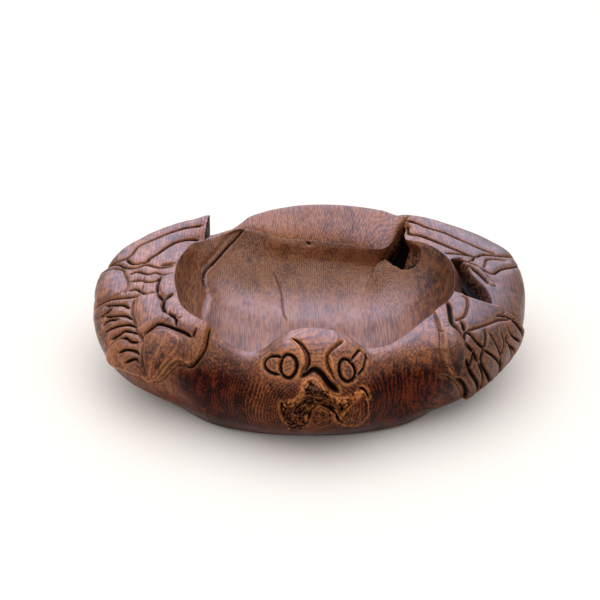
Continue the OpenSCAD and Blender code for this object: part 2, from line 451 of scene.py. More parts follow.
def patch_relief(patches: list[Patch], u: np.ndarray, t: np.ndarray
                 ) -> tuple[np.ndarray, np.ndarray, np.ndarray]:
    """Adds up the patches at each place.

    Args:
        patches: the raised and cut faces.
        u: section angles.
        t: stations.

    Returns:
        The height in mm, and the darkening (staining and painted shade) and the pale edges (rubbing and
        painted highlight) from 0 to 1, at each place.
    """
    height, stain, wear_and_highlight = (np.zeros(u.shape) for _ in range(3))
    x, y = u * MM_PER_DEGREE, t * MM_PER_STATION
    for patch in patches:
        corners = np.array(patch.outline, float) * (MM_PER_DEGREE, MM_PER_STATION)
        outline = rounded_path(corners, 8, closed=True)
        low, high = outline.min(0) - patch.edge, outline.max(0) + patch.edge
        near = (x > low[0]) & (x < high[0]) & (y > low[1]) & (y < high[1])
        gap = border_distance(outline, x[near], y[near])
        share = smoothstep(-patch.edge / 2, patch.edge / 2, gap)
        reach = max(gap.max(initial=0.0), 1e-6)
        swell = patch.dome * np.sqrt(np.clip(gap / reach, 0, 1))
        height[near] += share * patch.height + swell
        stain[near] = np.maximum(stain[near], share * patch.stain)
        # The border of a raised face gets a pale band: rubbing and painted highlight.
        rubbed_and_lit = np.exp(-((gap - patch.edge * 0.6) / 0.7) ** 2) * np.clip(patch.height / 2, 0, 1)
        wear_and_highlight[near] = np.maximum(wear_and_highlight[near], rubbed_and_lit)
    return height, stain, wear_and_highlight


def stroke_mesh(name: str, strokes: list[Stroke], surface: Surface,
                spacing: float = 0.7) -> bpy.types.Object:
    """Lays the strokes on a surface as chains of edges that carry their width and depth.

    Args:
        name: name of the object.
        strokes: the cuts.
        surface: function from section angles and stations to places.
        spacing: distance between points in mm.

    Returns:
        An object of edges, to be deleted after the carving.
    """
    points, edges = [], []
    width, depth, stain, step, across = [], [], [], [], []
    for stroke in strokes:
        path = rounded_path(np.array(stroke.path, float), 12)
        rough = surface(path[:, 0], path[:, 1])
        run = np.concatenate([[0], np.cumsum(np.linalg.norm(np.diff(rough, axis=0), axis=1))])
        count = max(4, int(run[-1] / MM / spacing))
        at = np.linspace(0, run[-1], count)
        u, t = (np.interp(at, run, path[:, k]) for k in (0, 1))
        place = surface(u, t)
        nudge = 0.02
        normal = np.cross(surface(u + nudge, t) - place, surface(u, t + nudge) - place)
        side = np.cross(np.gradient(place, axis=0), normal)
        side /= np.maximum(np.linalg.norm(side, axis=1, keepdims=True), 1e-12)
        to_end = np.minimum(at, run[-1] - at) / MM
        ends = np.ones(count) if stroke.blunt else np.minimum(1, to_end / TAPER_MM) ** 0.6
        taper = 0.35 + 0.65 * ends
        first = len(points)
        points.extend(place)
        edges.extend((first + k, first + k + 1) for k in range(count - 1))
        width.extend(stroke.width * MM / 2 * taper)
        depth.extend(stroke.depth * MM * taper)
        stain.extend(stroke.stain.value * np.minimum(1, taper * 1.3))
        step.extend(np.full(count, stroke.step * MM))
        across.extend(side)
    mesh = bpy.data.meshes.new(name)
    mesh.from_pydata([tuple(p) for p in points], edges, [])
    for label, values in (("width", width), ("depth", depth), ("stain", stain),
                          ("step", step), ("across", across)):
        mark(mesh, label, np.array(values))
    made = bpy.data.objects.new(name, mesh)
    bpy.context.collection.objects.link(made)
    return made


# ---------------------------------------------------------------- nodes

@dataclass(frozen=True)
class NodeType:
    """A type of node as it is used here.

    Attributes:
        name: the node's type.
        settings: properties that it always has.
        slots: the inputs that its values go to, in order.
        out: the output that is wanted.
        usual: inputs that rarely differ.
    """

    name: str
    settings: dict[str, str | bool] = field(default_factory=dict)
    slots: tuple[int | str, ...] = (0, 1, 2, 3, 4)
    out: int | str = 0
    usual: dict[str, float] = field(default_factory=dict)


def sum_type(operation: str) -> NodeType:
    """The type of node that works out one operation."""
    return NodeType("ShaderNodeMath", {"operation": operation})


COLOUR_MIX = {"data_type": "RGBA", "clamp_factor": True}
EASED = {"interpolation_type": "SMOOTHSTEP"}


class Kind(Enum):
    """The kinds of node that the gouge and the finishes are made of."""

    PLUS = sum_type("ADD")
    MINUS = sum_type("SUBTRACT")
    TIMES = sum_type("MULTIPLY")
    OVER = sum_type("DIVIDE")
    POWER = sum_type("POWER")
    ROOT = sum_type("SQRT")
    EXP = sum_type("EXPONENT")
    FRACTION = sum_type("FRACT")
    SIZE = sum_type("ABSOLUTE")
    LEAST = sum_type("MINIMUM")
    MOST = sum_type("MAXIMUM")
    ABOVE = sum_type("GREATER_THAN")
    VECTOR_MINUS = NodeType("ShaderNodeVectorMath", {"operation": "SUBTRACT"})
    VECTOR_TIMES = NodeType("ShaderNodeVectorMath", {"operation": "SCALE"}, (0, "Scale"))
    VECTOR_DOT = NodeType("ShaderNodeVectorMath", {"operation": "DOT_PRODUCT"}, out="Value")
    SPLIT = NodeType("ShaderNodeSeparateXYZ")
    # Shading only.
    COORDINATES = NodeType("ShaderNodeTexCoord", out="Object")
    MAPPING = NodeType("ShaderNodeMapping", slots=("Vector", "Scale"))
    READING = NodeType("ShaderNodeAttribute", out="Fac")
    NOISE = NodeType("ShaderNodeTexNoise", slots=("Vector", "Scale", "Detail"),
                     usual={"Detail": 2.0, "Roughness": 0.55})
    CELLS = NodeType("ShaderNodeTexVoronoi", slots=("Vector", "Scale"))
    RANGE = NodeType("ShaderNodeMapRange")
    EASE = NodeType("ShaderNodeMapRange", EASED)
    RAMP = NodeType("ShaderNodeValToRGB")
    MIX = NodeType("ShaderNodeMix", COLOUR_MIX, (0, 6, 7), 2)
    TINT = NodeType("ShaderNodeMix", COLOUR_MIX | {"blend_type": "MULTIPLY"}, (0, 6, 7), 2)
    BUMP = NodeType("ShaderNodeBump", slots=("Height", "Strength", "Distance"))
    SHADER = NodeType("ShaderNodeBsdfPrincipled",
                      slots=("Base Color", "Roughness", "Normal", "Specular IOR Level"),
                      usual={"IOR": 1.5})
    SHADER_END = NodeType("ShaderNodeOutputMaterial")
    # Geometry only.
    GROUP_START = NodeType("NodeGroupInput")
    GROUP_END = NodeType("NodeGroupOutput")
    OBJECT = NodeType("GeometryNodeObjectInfo", slots=("Object",), out="Geometry")
    FIELD = NodeType("GeometryNodeInputNamedAttribute", {"data_type": "FLOAT"}, ("Name",))
    PROXIMITY = NodeType("GeometryNodeProximity", {"target_element": "EDGES"},
                         (0, "Sample Position"), "Distance")
    NEAREST = NodeType("GeometryNodeSampleNearest", {"domain": "POINT"},
                       ("Geometry", "Sample Position"))
    SAMPLE = NodeType("GeometryNodeSampleIndex", {"domain": "POINT"},
                      ("Geometry", "Value", "Index"))
    FACETS = NodeType("ShaderNodeTexNoise", {"noise_dimensions": "3D"}, ("Vector", "Scale"),
                      usual={"Detail": 1.0})
    MOVE = NodeType("GeometryNodeSetPosition", slots=("Geometry", "Offset"))
    STORE = NodeType("GeometryNodeStoreNamedAttribute", {"data_type": "FLOAT", "domain": "POINT"},
                     ("Geometry", "Name", "Value"))
    REALIZE = NodeType("GeometryNodeRealizeInstances")
    DRESS = NodeType("GeometryNodeSetMaterial", slots=("Geometry", "Material"))


class NodeBench:
    """A tree that nodes are added to."""

    def __init__(self, tree: bpy.types.NodeTree) -> None:
        """Takes the tree that the nodes go into."""
        self.tree = tree

    def add(self, kind: Kind, *values: Term, **settings: str) -> bpy.types.NodeSocket | None:
        """Adds a node with its settings and links.

        Args:
            kind: what it is.
            *values: what its inputs get: a value, or an output socket to link in.
            **settings: properties that this node has beyond those of its kind.

        Returns:
            The output that its kind names, or none for a node that ends a tree.
        """
        made = kind.value
        node = self.tree.nodes.new(made.name)
        for key, value in (made.settings | settings).items():
            setattr(node, key, value)
        for key, value in [*made.usual.items(), *zip(made.slots, values)]:
            if isinstance(value, bpy.types.NodeSocket):
                self.tree.links.new(value, node.inputs[key])
            else:
                node.inputs[key].default_value = value
        return node.outputs[made.out] if node.outputs else None


class GougeTree(NodeBench):
    """Geometry Nodes that cut strokes into a blank along its own carving direction."""

    # A cut this deep has its full share of roll, painted shade beside it, and pale edge of rubbing and
    # painted highlight.
    full_depth = 1.5 * MM
    # Widths of the soft parts beside a cut: the feather's step, the painted shade, the pale edge of rubbing
    # and painted highlight.
    step_fade = 3.0 * MM
    step_edge = 0.5 * MM
    painted_shade_fade = 1.5 * MM
    lip_width = 1.1 * MM

    def __init__(self) -> None:
        """Makes the tree with its named inputs and all its nodes."""
        super().__init__(bpy.data.node_groups.new("gouge", "GeometryNodeTree"))
        face = self.tree.interface
        face.new_socket("Geometry", in_out="INPUT", socket_type="NodeSocketGeometry")
        face.new_socket("Strokes", in_out="INPUT", socket_type="NodeSocketObject")
        for name in ("Roll Depth", "Roll Reach", "Chatter", "Chatter Size"):
            face.new_socket(name, in_out="INPUT", socket_type="NodeSocketFloat")
        face.new_socket("Finish", in_out="INPUT", socket_type="NodeSocketMaterial")
        face.new_socket("Geometry", in_out="OUTPUT", socket_type="NodeSocketGeometry")
        add = self.add
        self.given = add(Kind.GROUP_START).node.outputs
        self.chains = add(Kind.OBJECT, self.given["Strokes"])
        # Everything is measured on the plain form, which the strokes lie on.
        self.place = add(Kind.FIELD, "plain", data_type="FLOAT_VECTOR")
        self.distance = add(Kind.PROXIMITY, self.chains, self.place)
        self.index = add(Kind.NEAREST, self.chains, self.place)
        self.width = self.at_stroke("width")
        self.depth = self.at_stroke("depth")
        # 1 at the bottom of the V, 0 at its edge.
        self.inside = add(Kind.MOST, add(Kind.MINUS, 1.0, add(Kind.OVER, self.distance, self.width)), 0.0)
        self.strength = add(Kind.LEAST, add(Kind.OVER, add(Kind.SIZE, self.depth), self.full_depth), 1.0)
        self.finish_tree()

    def at_stroke(self, name: str, data_type: str = "FLOAT") -> bpy.types.NodeSocket:
        """Reads one of the strokes' attributes at the nearest point of a stroke.

        Args:
            name: the attribute.
            data_type: its type.

        Returns:
            Its value there.
        """
        value = self.add(Kind.FIELD, name, data_type=data_type)
        return self.add(Kind.SAMPLE, self.chains, value, self.index, data_type=data_type)

    def height(self) -> bpy.types.NodeSocket:
        """Works out how far the surface moves, below zero in a cut.

        Returns:
            The movement along the carving direction.
        """
        add = self.add
        # The V of the gouge, a little rounded at its bottom.
        cut = add(Kind.TIMES, add(Kind.POWER, self.inside, 0.8), self.depth)
        # The wood rolls off towards every cut.
        ratio = add(Kind.OVER, self.distance, self.given["Roll Reach"])
        bell = add(Kind.EXP, add(Kind.TIMES, add(Kind.TIMES, ratio, ratio), -1.0))
        roll = add(Kind.TIMES, add(Kind.TIMES, bell, self.given["Roll Depth"]), self.strength)
        # One side of an overlapping feather stands higher than the other.
        offset = add(Kind.VECTOR_MINUS, self.place, self.distance.node.outputs["Position"])
        side = add(Kind.VECTOR_DOT, offset, self.at_stroke("across", "FLOAT_VECTOR"))
        sign = add(Kind.MOST, add(Kind.LEAST, add(Kind.OVER, side, self.step_edge), 1.0), -1.0)
        fade = add(Kind.EXP, add(Kind.OVER, self.distance, -self.step_fade))
        lift = add(Kind.TIMES, add(Kind.TIMES, self.at_stroke("step"), sign), fade)
        # Small facets left by the tool.
        facets = add(Kind.FACETS, self.place, add(Kind.OVER, 1.0, self.given["Chatter Size"]))
        chatter = add(Kind.TIMES, add(Kind.MINUS, facets, 0.5), self.given["Chatter"])
        return add(Kind.MINUS, add(Kind.PLUS, lift, chatter), add(Kind.PLUS, cut, roll))

    def stain(self) -> bpy.types.NodeSocket:
        """Works out the dark at the bottom of the cuts: partly stained wood, partly painted shadow."""
        wide = self.add(Kind.LEAST, self.add(Kind.TIMES, self.inside, 1.8), 1.0)
        return self.add(Kind.TIMES, wide, self.at_stroke("stain"))

    def grime(self) -> bpy.types.NodeSocket:
        """Works out the painted shade that darkens the wood beside the cuts.

        Returns:
            Its strength from 0 to 1.
        """
        add = self.add
        beside = add(Kind.MOST, add(Kind.MINUS, self.distance, self.width), 0.0)
        fade = add(Kind.EXP, add(Kind.OVER, beside, -self.painted_shade_fade))
        grime = add(Kind.TIMES, add(Kind.TIMES, fade, 0.3), self.at_stroke("stain"))
        return add(Kind.TIMES, grime, self.strength)

    def lip(self) -> bpy.types.NodeSocket:
        """Works out the pale edges, rubbing and painted highlight: beside a cut, on a ridge and at a patch's
        edge.

        Returns:
            The pale edges from 0 to 1.
        """
        add = self.add
        beyond = add(Kind.OVER, add(Kind.MINUS, self.distance, self.width), self.lip_width)
        bell = add(Kind.EXP, add(Kind.TIMES, add(Kind.TIMES, beyond, beyond), -1.0))
        lip = add(Kind.TIMES, add(Kind.TIMES, bell, self.strength), 0.7)
        # A raised ridge gets a painted highlight.
        raised = add(Kind.MOST, add(Kind.OVER, self.depth, -1.0 * MM), 0.0)
        ridge = add(Kind.TIMES, raised, self.inside)
        lip = add(Kind.MOST, lip, add(Kind.LEAST, add(Kind.TIMES, ridge, 1.6), 1.0))
        return add(Kind.MOST, lip, add(Kind.FIELD, "patch_wear"))

    def finish_tree(self) -> None:
        """Moves the surface, stores what the finish reads and sets the material."""
        add = self.add
        total = add(Kind.TIMES, self.height(), add(Kind.FIELD, "carve_share"))
        direction = add(Kind.FIELD, "carve_dir", data_type="FLOAT_VECTOR")
        carved = add(Kind.MOVE, self.given["Geometry"], add(Kind.VECTOR_TIMES, direction, total))
        for name, value in (("stain", self.stain()), ("grime", self.grime()), ("lip", self.lip())):
            carved = add(Kind.STORE, carved, name, value)
        add(Kind.GROUP_END, add(Kind.DRESS, add(Kind.REALIZE, carved), self.given["Finish"]))

    def carve(self, blank: bpy.types.Object, strokes: bpy.types.Object,
              finish: bpy.types.Material, roll: float, reach: float,
              chatter: float, chatter_size: float) -> bpy.types.Mesh:
        """Cuts the strokes into a blank and returns the plain result.

        Args:
            blank: the object to cut.
            strokes: the edges to cut along, which is deleted afterwards.
            finish: the material set on the result.
            roll: how far the wood rolls off at a cut, in mm.
            reach: how far from a cut it starts to, in mm.
            chatter: height of the tool marks in mm.
            chatter_size: width of the tool marks in mm.

        Returns:
            The carved mesh.
        """
        modifier = blank.modifiers.new("gouge", "NODES")
        modifier.node_group = self.tree
        values = {"Strokes": strokes, "Roll Depth": roll * MM, "Roll Reach": reach * MM,
                  "Chatter": chatter * MM, "Chatter Size": chatter_size * MM, "Finish": finish}
        for item in self.tree.interface.items_tree:
            if item.in_out == "INPUT" and item.name in values:
                modifier[item.identifier] = values[item.name]
        bpy.context.view_layer.update()
        seen = blank.evaluated_get(bpy.context.evaluated_depsgraph_get())
        mesh = bpy.data.meshes.new_from_object(seen)
        blank.modifiers.remove(modifier)
        old = blank.data
        bpy.data.objects.remove(blank)
        bpy.data.meshes.remove(old)
        bpy.data.objects.remove(strokes)
        return mesh


# ---------------------------------------------------------------- finishes

def linear(code: str) -> tuple[float, float, float, float]:
    """Turns an sRGB hex colour into a linear one with full alpha."""
    parts = [int(code[k:k + 2], 16) / 255 for k in (1, 3, 5)]
    return (*(c / 12.92 if c <= 0.04045 else ((c + 0.055) / 1.055) ** 2.4 for c in parts), 1.0)


def per_mm(size: float) -> float:
    """The scale of a pattern whose marks are this many mm wide."""
    return 1000.0 / size


@dataclass(frozen=True)
class RosewoodFinish:
    """Oiled and waxed dark rosewood-like hardwood, carved by hand.

    The log lies front to back, so its rings are long lines on the top and circles on the
    front. The wax gives a soft shine, and the cuts are nearly black: partly stained wood, partly painted
    shadow.

    Attributes:
        name: the material's name.
        pale: the palest wood between the figure's streaks.
        middle: the usual wood.
        dark: the darkest streaks.
        stain: the black of the pores, and of the cuts and darkened faces: partly stained wood, partly painted
            shadow.
        worn_and_lit: the pale edges, partly bare from rubbing and partly painted highlight.
        wear_and_highlight: how strong the pale edges are.
        ring_mm: distance between growth rings.
        pore_mm: width of a pore, drawn wider than the real ones so that it shows.
        roughness: of the waxed surface.
        shine: specular level of the wax.
        heartwood_and_shade: tint of the dark core wood and of the painted shade on the front and low on the
            hull.
        painted_grey_sheen: tint of a painted greyish sheen towards the right wing.
        ring_weight: how strong the rings are.
        pith: the centre of the log in metres.
    """

    name: str
    pale: str = "#9a5d34"
    middle: str = "#6b381f"
    dark: str = "#2c130a"
    stain: str = "#0a0504"
    worn_and_lit: str = "#b8774a"
    wear_and_highlight: float = 0.65
    ring_mm: float = 2.1
    pore_mm: float = 0.5
    roughness: float = 0.36
    shine: float = 0.40
    heartwood_and_shade: str = "#8e5c44"
    painted_grey_sheen: str = "#948a96"
    ring_weight: float = 1.8
    pith: tuple[float, float, float] = (0.062, 0.0, 0.036)

    def material(self) -> bpy.types.Material:
        """Builds the finish as a material.

        Returns:
            The material.
        """
        made = bpy.data.materials.new(self.name)
        made.use_nodes = True
        made.node_tree.nodes.clear()
        RosewoodTree(made.node_tree, self).dress()
        return made


class RosewoodTree(NodeBench):
    """The nodes of one rosewood finish, from the lie of the log to the shine of the wax."""

    # Where the zones of the bowl begin and are complete, in metres.
    front_y = (-0.062, -0.088)
    front_z = (0.068, 0.050)
    breast_x = (0.028, 0.052)
    wall_x = (0.062, 0.088)
    painted_grey_sheen_x = (0.060, 0.115)
    head_y = (-0.045, -0.100)
    # The axis of the face, and how far the heart of the log moves back to it at the head.
    face_x = -0.004
    pith_swing = 0.058
    # How far the rings sway and wobble.
    sway = 0.012
    wobble = 0.0016

    def __init__(self, tree: bpy.types.NodeTree, finish: RosewoodFinish) -> None:
        """Finds the zones of the bowl that the patterns depend on.

        Args:
            tree: the material's tree.
            finish: its colours and sizes.
        """
        super().__init__(tree)
        self.finish = finish
        add = self.add
        self.place = add(Kind.COORDINATES)
        # The grain runs along the log: patterns are drawn long in that direction.
        self.along = add(Kind.MAPPING, self.place, (1.0, 0.12, 1.0))
        self.fine = add(Kind.MAPPING, self.place, (1.0, 0.08, 1.0))
        self.x, y, z = add(Kind.SPLIT, self.place).node.outputs
        self.aside = add(Kind.SIZE, add(Kind.PLUS, self.x, -self.face_x))
        # A mask low on the hull: painted shade darkens the wood there, and the wax is dulled.
        self.shelter = add(Kind.READING, attribute_name="shelter")
        # The low part of the front, and the breasts on both sides of the head in it.
        self.front = add(Kind.TIMES, add(Kind.EASE, y, *self.front_y), add(Kind.EASE, z, *self.front_z))
        self.breast = add(Kind.TIMES, self.front, add(Kind.EASE, self.aside, *self.breast_x))
        # Dark core wood and painted shade darken the front, most on both breasts, and low on the hull.
        heart_and_shade = add(Kind.PLUS, add(Kind.TIMES, self.front, 0.6), add(Kind.TIMES, self.breast, 0.4))
        self.heart_and_shade = add(Kind.MOST, heart_and_shade, add(Kind.TIMES, self.shelter, 0.8))

    def rings(self) -> bpy.types.NodeSocket:
        """Draws the growth rings round the pith.

        Returns:
            How much darker a ring makes the wood.
        """
        add = self.add
        sway = add(Kind.MINUS, add(Kind.NOISE, self.along, per_mm(34.0)), 0.5)
        wobble = add(Kind.MINUS, add(Kind.NOISE, self.along, per_mm(11.0)), 0.5)
        log = add(Kind.VECTOR_MINUS, self.place, self.finish.pith)
        across, back, up = add(Kind.SPLIT, log).node.outputs
        # The heart of the log comes back to the middle at the head.
        swing = add(Kind.EASE, back, *self.head_y, 0.0, self.pith_swing)
        across = add(Kind.PLUS, across, swing)
        radius = add(Kind.ROOT, add(Kind.PLUS, add(Kind.TIMES, across, across), add(Kind.TIMES, up, up)))
        bent = add(Kind.PLUS, radius, add(Kind.TIMES, sway, self.sway))
        bent = add(Kind.PLUS, bent, add(Kind.TIMES, wobble, self.wobble))
        tooth = add(Kind.FRACTION, add(Kind.OVER, bent, self.finish.ring_mm * MM))
        # Each ring darkens slowly and ends sharply.
        sharp = add(Kind.MINUS, 1.0, add(Kind.POWER, tooth, 16.0))
        ring = add(Kind.TIMES, add(Kind.POWER, tooth, 4.0), sharp)
        ring = add(Kind.TIMES, ring, add(Kind.NOISE, self.place, per_mm(16.0)))
        # On the dark front the rings show as pale lines.
        turned = add(Kind.MINUS, 1.0, add(Kind.TIMES, self.front, 2.6))
        return add(Kind.TIMES, add(Kind.MINUS, ring, 0.12), turned)

    def figure(self) -> bpy.types.NodeSocket:
        """Draws the streaks of the grain, stronger on the darkened front and low on the hull.

        Returns:
            How much darker a streak makes the wood.
        """
        add = self.add
        band = add(Kind.MINUS, add(Kind.NOISE, self.along, per_mm(7.0), 3.0), 0.5)
        streak = add(Kind.MINUS, add(Kind.NOISE, self.fine, per_mm(1.3)), 0.5)
        figure = add(Kind.PLUS, add(Kind.TIMES, band, 0.8), add(Kind.TIMES, streak, 2.0))
        figure = add(Kind.TIMES, figure, add(Kind.PLUS, 1.0, add(Kind.TIMES, self.heart_and_shade, 0.5)))
        # Upright streaks run down both breasts.
        tall = add(Kind.MAPPING, self.place, (1.0, 1.0, 0.09))
        thin = add(Kind.MINUS, add(Kind.NOISE, tall, per_mm(1.5)), 0.5)
        thick = add(Kind.MINUS, add(Kind.NOISE, tall, per_mm(5.0)), 0.5)
        upright = add(Kind.TIMES, add(Kind.PLUS, thin, thick), self.breast)
        return add(Kind.PLUS, figure, add(Kind.TIMES, upright, 2.4))

    def timber(self, ring: bpy.types.NodeSocket) -> bpy.types.NodeSocket:
        """Colours the bare wood.

        Args:
            ring: the growth rings.

        Returns:
            The colour of the wood before any stain.
        """
        add, finish = self.add, self.finish
        # The grain runs wild in the side walls.
        wild = add(Kind.MINUS, add(Kind.NOISE, self.place, per_mm(6.0), 3.0), 0.5)
        wild = add(Kind.TIMES, add(Kind.EASE, self.aside, *self.wall_x), wild)
        broad = add(Kind.MINUS, add(Kind.NOISE, self.along, per_mm(26.0), 3.0), 0.5)
        tone = add(Kind.PLUS, add(Kind.TIMES, broad, 1.3), 0.42)
        for part, weight in ((self.figure(), 1.0), (ring, finish.ring_weight), (wild, 2.2)):
            tone = add(Kind.PLUS, tone, add(Kind.TIMES, part, weight))
        wood = add(Kind.RAMP, tone)
        stops = wood.node.color_ramp.elements
        stops[0].position, stops[0].color = 0.0, linear(finish.pale)
        stops[1].position, stops[1].color = 1.0, linear(finish.dark)
        stops.new(0.45).color = linear(finish.middle)
        wood = add(Kind.MIX, self.heart_and_shade, wood, add(Kind.TINT, 1.0, wood, linear(finish.heartwood_and_shade)))
        # A painted greyish sheen dulls and darkens the wood towards the right wing.
        cloud = add(Kind.TIMES, add(Kind.NOISE, self.along, per_mm(30.0), 1.0), 0.7)
        painted_grey_sheen = add(Kind.EASE, self.x, *self.painted_grey_sheen_x, 0.0, 0.85)
        painted_grey_sheen = add(Kind.TIMES, painted_grey_sheen, add(Kind.PLUS, 0.55, cloud))
        return add(Kind.MIX, painted_grey_sheen, wood, add(Kind.TINT, 1.0, wood, linear(finish.painted_grey_sheen)))

    def pores(self) -> bpy.types.NodeSocket:
        """Draws the short dark pores along the grain.

        Returns:
            1 in a pore, 0 beside it.
        """
        add = self.add
        cells = add(Kind.CELLS, self.fine, per_mm(self.finish.pore_mm * 2.6))
        some = add(Kind.ABOVE, add(Kind.NOISE, self.place, per_mm(5.0), 1.0), 0.5)
        return add(Kind.TIMES, add(Kind.RANGE, cells, 0.16, 0.08), some)

    def knots(self) -> bpy.types.NodeSocket:
        """Draws a few pin knots.

        Returns:
            1 in a knot, 0 beside it.
        """
        add = self.add
        cells = add(Kind.CELLS, self.place, per_mm(6.0))
        some = add(Kind.ABOVE, add(Kind.NOISE, self.place, per_mm(14.0), 1.0), 0.46)
        return add(Kind.TIMES, add(Kind.RANGE, cells, 0.11, 0.05), some)

    def dark_depth(self) -> bpy.types.NodeSocket:
        """Works out how dark the cuts and the darkened faces are: partly stained wood, partly painted shade.

        Returns:
            The darkening from 0 to 1.
        """
        add = self.add
        # A half stained face is mottled, a black cut is not.
        ragged = add(Kind.RANGE, add(Kind.NOISE, self.place, per_mm(2.4), 3.0), 0.40, 0.60, -1.7, 1.7)
        patch_dark = add(Kind.READING, attribute_name="patch_stain")
        half = add(Kind.TIMES, patch_dark, add(Kind.MINUS, 1.0, patch_dark))
        patch_dark = add(Kind.PLUS, patch_dark, add(Kind.TIMES, ragged, half))
        cut = add(Kind.READING, attribute_name="stain")
        return add(Kind.MOST, add(Kind.MOST, cut, add(Kind.READING, attribute_name="grime")), patch_dark)

    def dress(self) -> None:
        """Lays the wood, its pores, the pale edges of rubbing and painted highlight, the dark of staining and
        painted shade, and the wax.
        """
        add, finish = self.add, self.finish
        ring, pore = self.rings(), self.pores()
        specks = add(Kind.MOST, add(Kind.TIMES, pore, 0.6), add(Kind.TIMES, self.knots(), 0.7))
        wood = add(Kind.MIX, specks, self.timber(ring), linear(finish.stain))
        # Pale edges beside the cuts and on ridges: rubbing and painted highlight.
        rubbed_and_lit = add(Kind.RANGE, add(Kind.NOISE, self.place, per_mm(3.0)), 0.34, 0.54)
        lip = add(Kind.READING, attribute_name="lip")
        rubbed_and_lit = add(Kind.TIMES, lip, add(Kind.TIMES, rubbed_and_lit, finish.wear_and_highlight))
        wood = add(Kind.MIX, rubbed_and_lit, wood, linear(finish.worn_and_lit))
        deep = self.dark_depth()
        wood = add(Kind.MIX, deep, wood, linear(finish.stain))
        uneven = add(Kind.MINUS, add(Kind.NOISE, self.place, per_mm(12.0)), 0.5)
        rough = add(Kind.PLUS, finish.roughness, add(Kind.TIMES, uneven, 0.25))
        rough = add(Kind.PLUS, rough, add(Kind.TIMES, deep, 0.3))
        # The wax is thin in the cuts, on the front and low on the hull.
        shine = add(Kind.TIMES, finish.shine, add(Kind.MINUS, 1.0, add(Kind.TIMES, deep, 0.85)))
        dull = add(Kind.TIMES, add(Kind.MOST, self.front, self.shelter), 0.85)
        shine = add(Kind.TIMES, shine, add(Kind.MINUS, 1.0, dull))
        fibres = add(Kind.TIMES, add(Kind.NOISE, self.fine, per_mm(1.3)), 0.8)
        height = add(Kind.PLUS, add(Kind.MINUS, add(Kind.TIMES, ring, 0.5), pore), fibres)
        bump = add(Kind.BUMP, height, 0.5, 0.15 * MM)
        add(Kind.SHADER_END, add(Kind.SHADER, wood, rough, bump, shine))


# ---------------------------------------------------------------- pieces

def tidy_object(name: str, mesh: bpy.types.Mesh) -> bpy.types.Object:
    """Makes a named object at the origin from a mesh.

    Args:
        name: its name.
        mesh: its mesh.

    Returns:
        The new object.
    """
    mesh.name = name
    made = bpy.data.objects.new(name, mesh)
    bpy.context.collection.objects.link(made)
    return made


def hand_in(piece: bpy.types.Object, node: str, slot: str) -> None:
    """Puts a finished piece in its CAD node's place and reports it.

    Args:
        piece: the finished object.
        node: the CAD node it stands for.
        slot: the name of its material slot, not used.
    """
    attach(piece, "root")
    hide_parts(node)
    LOG.info("%s: %d faces", piece.name, len(piece.data.polygons))


def grid_faces(columns: int, rows: int) -> np.ndarray:
    """Quads of a grid stored column by column, facing out.

    Args:
        columns: number of columns.
        rows: number of points in a column.

    Returns:
        (N, 4) numbers of the corners.
    """
    i, k = np.meshgrid(np.arange(columns - 1), np.arange(rows - 1), indexing="ij")
    a = (i * rows + k).ravel()
    return np.stack([a, a + 1, a + rows + 1, a + rows], -1)


def surface_normals(surface: Surface, u: np.ndarray, t: np.ndarray, last: float) -> np.ndarray:
    """Unit normals of a surface given by angle and station, pointing out of the wood.

    Args:
        surface: function from angles and stations to places.
        u: section angles.
        t: stations.
        last: the highest station of the surface.

    Returns:
        (N, 3) unit normals.
    """
    du, dt = 0.04, 0.01
    around = surface(u + du, t) - surface(u - du, t)
    down = surface(u, np.minimum(t + dt, last)) - surface(u, np.maximum(t - dt, 0.0))
    normal = np.cross(down, around)
    return normal / np.maximum(np.linalg.norm(normal, axis=1, keepdims=True), 1e-12)


